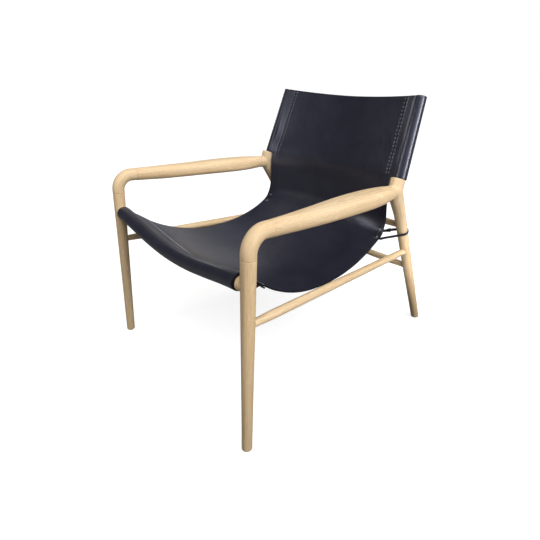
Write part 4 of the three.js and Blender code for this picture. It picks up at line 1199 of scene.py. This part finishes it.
def sleeve_section(place, values):
    """One row of the left sleeve, from the panel round the post to the end of the rear layer."""
    distance = (place - shoulder_run) / (end_run - shoulder_run) * sleeve_end
    centre = along(shoulder, post_top, distance)
    radius = sleeve_radius(distance)
    inward = np.concatenate([[SLEEVE_HOLLOW], np.linspace(SLEEVE_HOLLOW + 2, SLEEVE_SEAM, 8)])
    inward = np.append(inward, SHOULDER_INWARD - CORNER_FILLET)
    layer = panel(place, values[0] + SHOULDER_INWARD - inward)
    flat = flattened(layer, centre, POST_LATERAL, POST_DEPTH)
    rear, first = flat[:-1] + vec(0, PITCH), flat[-1]
    hollow = rear[0]
    towards = math.atan2(hollow[0], -hollow[1]) % (2 * math.pi)
    end = towards - math.acos(radius / np.linalg.norm(hollow))
    angles = np.linspace(-mix(*SLEEVE_VALLEYS, climb(place)), end, 70)
    arc = np.column_stack([radius * np.sin(angles), -radius * np.cos(angles)])
    lead = [mix(first, arc[0], share) for share in (0, 0.33, 0.66)]
    line = resample([*lead, *arc, *rear], 180)
    line = soften(line, hollow, SLEEVE_SOFT)
    line = soften(line, arc[0], VALLEY_SOFT, 3)
    return raised(resample(line, SLEEVE_POINTS), centre, POST_LATERAL, POST_DEPTH)


def sheet_grid():
    """The sheet's middle surface: one grid from hem to top edge, and a patch for each sleeve."""
    places = row_places()
    main = main_rows(places)
    xs = column_places(row_values(0.0)[0][0], 0.0)
    layers = np.array([under_layer(place, xs) for place in np.linspace(HEM_HOLLOW, HEM_LENGTH, 7)])
    rolled = np.array([roll_column(x, layers[:, i]) for i, x in enumerate(xs)]).transpose(1, 0, 2)
    grid = np.concatenate([rolled, main])
    sleeve_places = places[-SLEEVE_ROWS:]
    values = row_values(sleeve_places)
    sleeves = np.array([sleeve_section(place, v) for place, v in zip(sleeve_places, values)])
    return grid, sleeves


def sheet_mesh(grid, sleeves):
    rows, columns = grid.shape[:2]
    vertices = list(grid.reshape(-1, 3))
    faces = []
    for r in range(rows - 1):
        for c in range(columns - 1):
            a = r * columns + c
            faces.append((a + 1, a, a + columns, a + columns + 1))
    first, width = rows - len(sleeves), sleeves.shape[1] - 1
    for side, edge in ((1, 0), (-1, columns - 1)):
        base = len(vertices)
        vertices += list((sleeves[:, 1:] * vec(side, 1, 1)).reshape(-1, 3))

        def index(r, c):
            return (first + r) * columns + edge if c == 0 else base + r * width + c - 1

        for r in range(len(sleeves) - 1):
            for c in range(width):
                quad = (index(r, c), index(r, c + 1), index(r + 1, c + 1), index(r + 1, c))
                faces.append(quad if side == 1 else quad[::-1])
    return vertices, faces


EDGE_BEVEL, EDGE_ANGLE = 0.6, 50.0


def thicken(obj):
    """Gives the sheet its thickness, with a bevel along the cut edges."""
    modifier = obj.modifiers.new("thickness", "SOLIDIFY")
    modifier.thickness = LEATHER * MM
    modifier.offset = 0.0
    modifier.use_even_offset = True
    modifier.material_offset = 1
    modifier.material_offset_rim = 2
    modifier = obj.modifiers.new("edges", "BEVEL")
    modifier.width = EDGE_BEVEL * MM
    modifier.segments = 2
    modifier.limit_method = "ANGLE"
    modifier.angle_limit = math.radians(EDGE_ANGLE)
    apply_modifiers(obj)


def dye_and_shade_roll_ends(obj):
    """The roll's two ends get the cut edge's near-black: partly edge dye, partly painted shade of the
    gap at the boss.
    """
    reach = ROLL_RADIUS + LEATHER
    for face in obj.data.polygons:
        x, y, z = np.array(face.center) / MM
        near = math.hypot(y - rail_end[1], z - RAIL_HEIGHT) < reach
        if near and abs(x) > SLING_WIDTH / 2 - ROLL_END_DYE_AND_SHADE:
            face.material_index = 2


def path_length(points):
    return float(distances(points)[-1])


def leather_sheet():
    grid, sleeves = sheet_grid()
    vertices, faces = sheet_mesh(grid, sleeves)
    obj = new_object("leather_sling_sheet", vertices, faces, leather_front, leather_back,
                     leather_edge_dye_and_shade)
    area = sum(face.area for face in obj.data.polygons)
    width = max(path_length(row) for row in grid)
    for row, sleeve in zip(grid[-SLEEVE_ROWS:], sleeves):
        width = max(width, path_length(row) + 2 * path_length(sleeve))
    length = max(path_length(grid[:, c]) for c in range(grid.shape[1]))
    thicken(obj)
    dye_and_shade_roll_ends(obj)
    return keep(obj, "leather", "leather_sling"), width * MM, length * MM, area


# Eyelets and their holes
EYELET_BORE, EYELET_BARREL, EYELET_FLANGE, EYELET_RISE = 6.0, 7.4, 11.0, 0.9


def eyelet_frames():
    """Place, normal and upward direction of the left corner's lower and upper eyelet."""
    stops = [run[TAIL_KNOTS + CORNER_ROW + i] for i in range(3)]
    frames = []
    for i in range(2):
        place = (stops[i] + stops[i + 1]) / 2
        x = row_values(place)[0][0] - EYELET_INSET
        inner, middle, outer = panel(place, [x - 2, x, x + 2])
        normal = hung_normals(place, np.array([x]))[0]
        frames.append((middle, normal, unit(np.cross(normal, outer - inner))))
    return frames


def turned(name, profile, place, axis, sides=40):
    """A turned piece; each stop of its profile is a height along the axis and a radius."""
    lateral = unit(vec(0.3, 1, 0.2))
    return lofted(name, straight_rings(place, axis, profile, sides, lateral), nickel, looped=True)


def eyelet_profile():
    bore, barrel, flange = EYELET_BORE / 2, EYELET_BARREL / 2, EYELET_FLANGE / 2
    seat = LEATHER / 2 + 0.05
    crown = (flange - bore) / 2
    front = [(seat + EYELET_RISE * math.sin(a), bore + crown - crown * math.cos(a))
             for a in np.linspace(0, math.pi, 11)]
    back = [(-height, radius) for height, radius in reversed(front)]
    return front + [(seat, barrel), (-seat, barrel)] + back


def cut_eyelet_holes(sheet, frames):
    half, edge, centre = 9, EYELET_BARREL / 2, 0.01
    profile = [(-half, centre), (-half, edge), (half, edge), (half, centre)]
    cutters = []
    for place, normal, _ in frames:
        for side in (1, -1):
            flip = vec(side, 1, 1)
            cutters.append(turned("cutter", profile, place * flip, normal * flip, 32))
    for cutter in cutters:
        modifier = sheet.modifiers.new("hole", "BOOLEAN")
        modifier.operation = "DIFFERENCE"
        modifier.solver = "EXACT"
        modifier.object = cutter
    apply_modifiers(sheet)
    for cutter in cutters:
        bpy.data.objects.remove(cutter)


def eyelets(frames):
    pieces = []
    for stem, (place, normal, _) in zip(("eyelet_lower", "eyelet_upper"), frames):
        obj = turned(f"{stem}_ring", eyelet_profile(), place, normal)
        pieces += both_sides(obj, "nickel", stem)
    return pieces


# Laces
LACE_WIDTH, LACE_THICKNESS, LACE_ROUND, LACE_SQUEEZE_SHARE = 8.5, 2.4, 4.8, 0.7
LACE_FRONT_WIDTH, LACE_LEG_GAP, LACE_OVERLAP = 7.0, 0.2, 10.0
# Shares of the way from the upper eyelet to the leg, and from the leg to the lower eyelet
LACE_OUT, LACE_HOME = (0.08, 0.46, 0.66, 0.82, 0.93), (0.07, 0.25, 0.5, 0.75, 0.9)
KNOT_TURNS, KNOT_STEPS, KNOT_POINTS = 2.0, 44, 90
# Half sizes of the knot: across, in depth and along the thong
KNOT_WIDTH, KNOT_DEPTH, KNOT_REACH = 5.2, 4.42, 7.68


def wrap_points(radius, front, back, steps):
    """Points round a leg, in its section, from the front place's tangent to the back place's."""

    def tangent(place, side):
        angle = math.atan2(place[1], place[0]) + side * math.acos(radius / math.hypot(*place))
        return math.atan2(math.sin(angle), math.cos(angle))

    angles = np.linspace(tangent(front, 1), tangent(back, -1), steps)
    return np.column_stack([np.cos(angles), np.sin(angles)]) * radius


def lace_stops(frames):
    """Stops of one thong's loop through both eyelets of a corner and round the rear leg: place,
    direction of its width, width and thickness."""
    (low, low_normal, low_up), (high, high_normal, high_up) = frames
    leg_point, radius = on_rear_leg(LACE_HEIGHT)
    radius += LACE_LEG_GAP + LACE_THICKNESS / 2
    leg_axis = unit(junction - rear_foot)
    leg_section = section_axes(leg_axis)
    face = LEATHER / 2 + EYELET_RISE + FIT_GAP
    hump = face + LACE_THICKNESS
    thread_size = (X_AXIS, LACE_ROUND, LACE_ROUND * LACE_SQUEEZE_SHARE)
    strap_size = (leg_axis, LACE_WIDTH, LACE_THICKNESS)
    flat_size = (X_AXIS, LACE_FRONT_WIDTH, LACE_THICKNESS)
    low_back, high_back = low - low_normal * 2 * hump, high - high_normal * 2 * hump
    ends = flattened([low_back, high_back], leg_point, *leg_section)
    loop = raised(wrap_points(radius, *ends, 22)[::-1], leg_point, *leg_section)
    stops = [(low + low_normal * hump + low_up * LACE_OVERLAP, *flat_size),
             (high + high_normal * hump - high_up * LACE_ROUND, *flat_size),
             (high + high_normal * face, *thread_size),
             (high - high_normal * face, *thread_size)]
    knot_index = len(stops) + 1
    stops += [(mix(high_back, loop[0], share), *strap_size) for share in LACE_OUT]
    stops += [(place, *strap_size) for place in loop]
    stops += [(mix(loop[-1], low_back, share), *strap_size) for share in LACE_HOME]
    stops += [(low - low_normal * face, *thread_size),
              (low + low_normal * face, *thread_size),
              (low + low_normal * hump + low_up * LACE_ROUND, *flat_size)]
    return stops, knot_index


def rounded_strap(centre, travel, lateral, width, thickness, sides=14):
    return ring(centre, travel, width / 2, thickness / 2, 3.4, sides, lateral)


def closed_smooth(values, per_span):
    """A smooth closed line through rows of values."""
    count = len(values)
    wrapped = np.array([values[i % count] for i in range(-3, count + 4)])
    places = np.arange(-3, count + 4)
    fine = np.arange(0, count, 1 / per_span)
    slope = (wrapped[2] - wrapped[0]) / 2
    return spline(places, wrapped, fine, slope, slope)


def lace(frames):
    """Makes the laces with their knots, and gives the length of one loop."""
    stops, knot_index = lace_stops(frames)
    rows = np.array([[*place, *axis, width, thick] for place, axis, width, thick in stops])
    fine = closed_smooth(rows, 5)
    rings = []
    for i, row in enumerate(fine):
        travel = unit(fine[(i + 1) % len(fine)][:3] - fine[i - 1][:3])
        rings.append(rounded_strap(row[:3], travel, unit(row[3:6]), row[6], row[7]))
    both_sides(lofted("lace_strap", rings, lace_leather, looped=True), "leather", "lace")
    both_sides(lace_knot(stops, knot_index), "leather")
    return path_length(np.concatenate([fine[:, :3], fine[:1, :3]]))


def lace_knot(stops, index):
    """Turns of the thong round itself, and its two short ends."""
    place, before = stops[index][0], stops[index - 1][0]
    travel = unit(place - before)
    first, second = section_axes(travel)
    centres = []
    for share in np.linspace(0, 1, KNOT_STEPS + 1):
        angle = 2 * math.pi * KNOT_TURNS * share
        offset = first * math.cos(angle) * KNOT_WIDTH + second * math.sin(angle) * KNOT_DEPTH
        centres.append(place + travel * mix(-KNOT_REACH, KNOT_REACH, share) + offset)
    start_way = unit(-second - travel * 0.5 + first * 0.3)
    end_way = unit(-second * 0.9 + travel * 0.7 - first * 0.2)
    centres = [centres[0] + start_way * 9, centres[0] + start_way * 4, *centres,
               centres[-1] + end_way * 4, centres[-1] + end_way * 8]
    centres = resample(centres, KNOT_POINTS)
    rings = []
    for i, centre in enumerate(centres):
        step = unit(centres[min(i + 1, KNOT_POINTS - 1)] - centres[max(i - 1, 0)])
        rings.append(rounded_strap(centre, step, travel, LACE_ROUND, LACE_THICKNESS, 10))
    return lofted("lace_knot", rings, lace_leather)


# Stitching
STITCH_PITCH, STITCH_LENGTH, THREAD_D, STITCH_SLANT = 11.0, 6.0, 1.9, math.radians(28)
STITCH_RISE, STITCH_DIVE, STITCH_SIDES = 0.34, 0.95, 8
# Shares of a stitch's half length and of its girth
STITCH_PROFILE = [(-1, 0.45), (-0.86, 0.8), (-0.5, 1), (0, 1), (0.5, 1), (0.86, 0.8), (1, 0.45)]


def stitches(line, normals):
    """Saddle stitches along a line on the leather: each dives in at both ends."""
    distance = distances(line)
    count = int((distance[-1] - STITCH_LENGTH) / STITCH_PITCH) + 1
    start = (distance[-1] - (count - 1) * STITCH_PITCH) / 2

    def pick(values, place):
        return np.array([np.interp(place, distance, values[:, k]) for k in range(3)])

    parts = []
    for middle in start + STITCH_PITCH * np.arange(count):
        normal = unit(pick(normals, middle))
        along_line = unit(pick(line, middle + 1) - pick(line, middle - 1))
        across = np.cross(normal, along_line)
        travel = along_line * math.cos(STITCH_SLANT) + across * math.sin(STITCH_SLANT)
        rings = []
        for share, girth in STITCH_PROFILE:
            rise = STITCH_RISE - STITCH_DIVE * share**4
            place = pick(line, middle) + travel * share * STITCH_LENGTH / 2 + normal * rise
            rings.append(round_ring(place, travel, THREAD_D / 2 * girth, STITCH_SIDES, across))
        parts.append(shell(rings))
    return combined(parts)


def sleeve_stitches():
    """Two rows on the front of the left sleeve, and the same two behind."""
    parts, count = [], 50
    places = np.linspace(shoulder_run + 5, end_run - 3, count)
    halves = row_values(places)[:, 0]
    for seam in SEAM_ROWS:
        inner = np.array([panel(place, half + SHOULDER_INWARD - seam)[0]
                          for place, half in zip(places, halves)])
        for way, depth in ((-POST_DEPTH, LEATHER / 2), (POST_DEPTH, PITCH + LEATHER / 2)):
            parts.append(stitches(inner + way * depth, np.tile(way, (count, 1))))
    return both_sides(new_object("sleeve_stitches", *combined(parts), thread_painted_highlight), "leather")


def hem_stitches():
    """Two rows across the seat behind the roll, and the same two under it."""
    parts = []
    xs = np.linspace(-SLING_WIDTH / 2 + 5, SLING_WIDTH / 2 - 5, 90)
    for place in HEM_ROWS:
        normals = hung_normals(place, xs)
        parts.append(stitches(panel(place, xs) + normals * LEATHER / 2, normals))
        parts.append(stitches(under_layer(place, xs) - normals * LEATHER / 2, -normals))
    return keep(new_object("hem_stitches", *combined(parts), thread_painted_highlight), "leather")


def leather_work():
    sheet, width, length, area = leather_sheet()
    frames = eyelet_frames()
    cut_eyelet_holes(sheet, frames)
    rings = eyelets(frames)
    lace_length = lace(frames)
    seams = [*sleeve_stitches(), hem_stitches()]
    print("sheet m", round(width, 3), round(length, 3), "area", round(area, 4),
          "lace mm", round(lace_length))


leather_work()

# Carried-over nodes, which only need a material
for name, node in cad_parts.items():
    for stem, material in (("dowel", oak_hidden), ("front_glide", nylon), ("rear_glide", nylon)):
        if name.startswith(stem):
            node.data.materials.clear()
            node.data.materials.append(material)
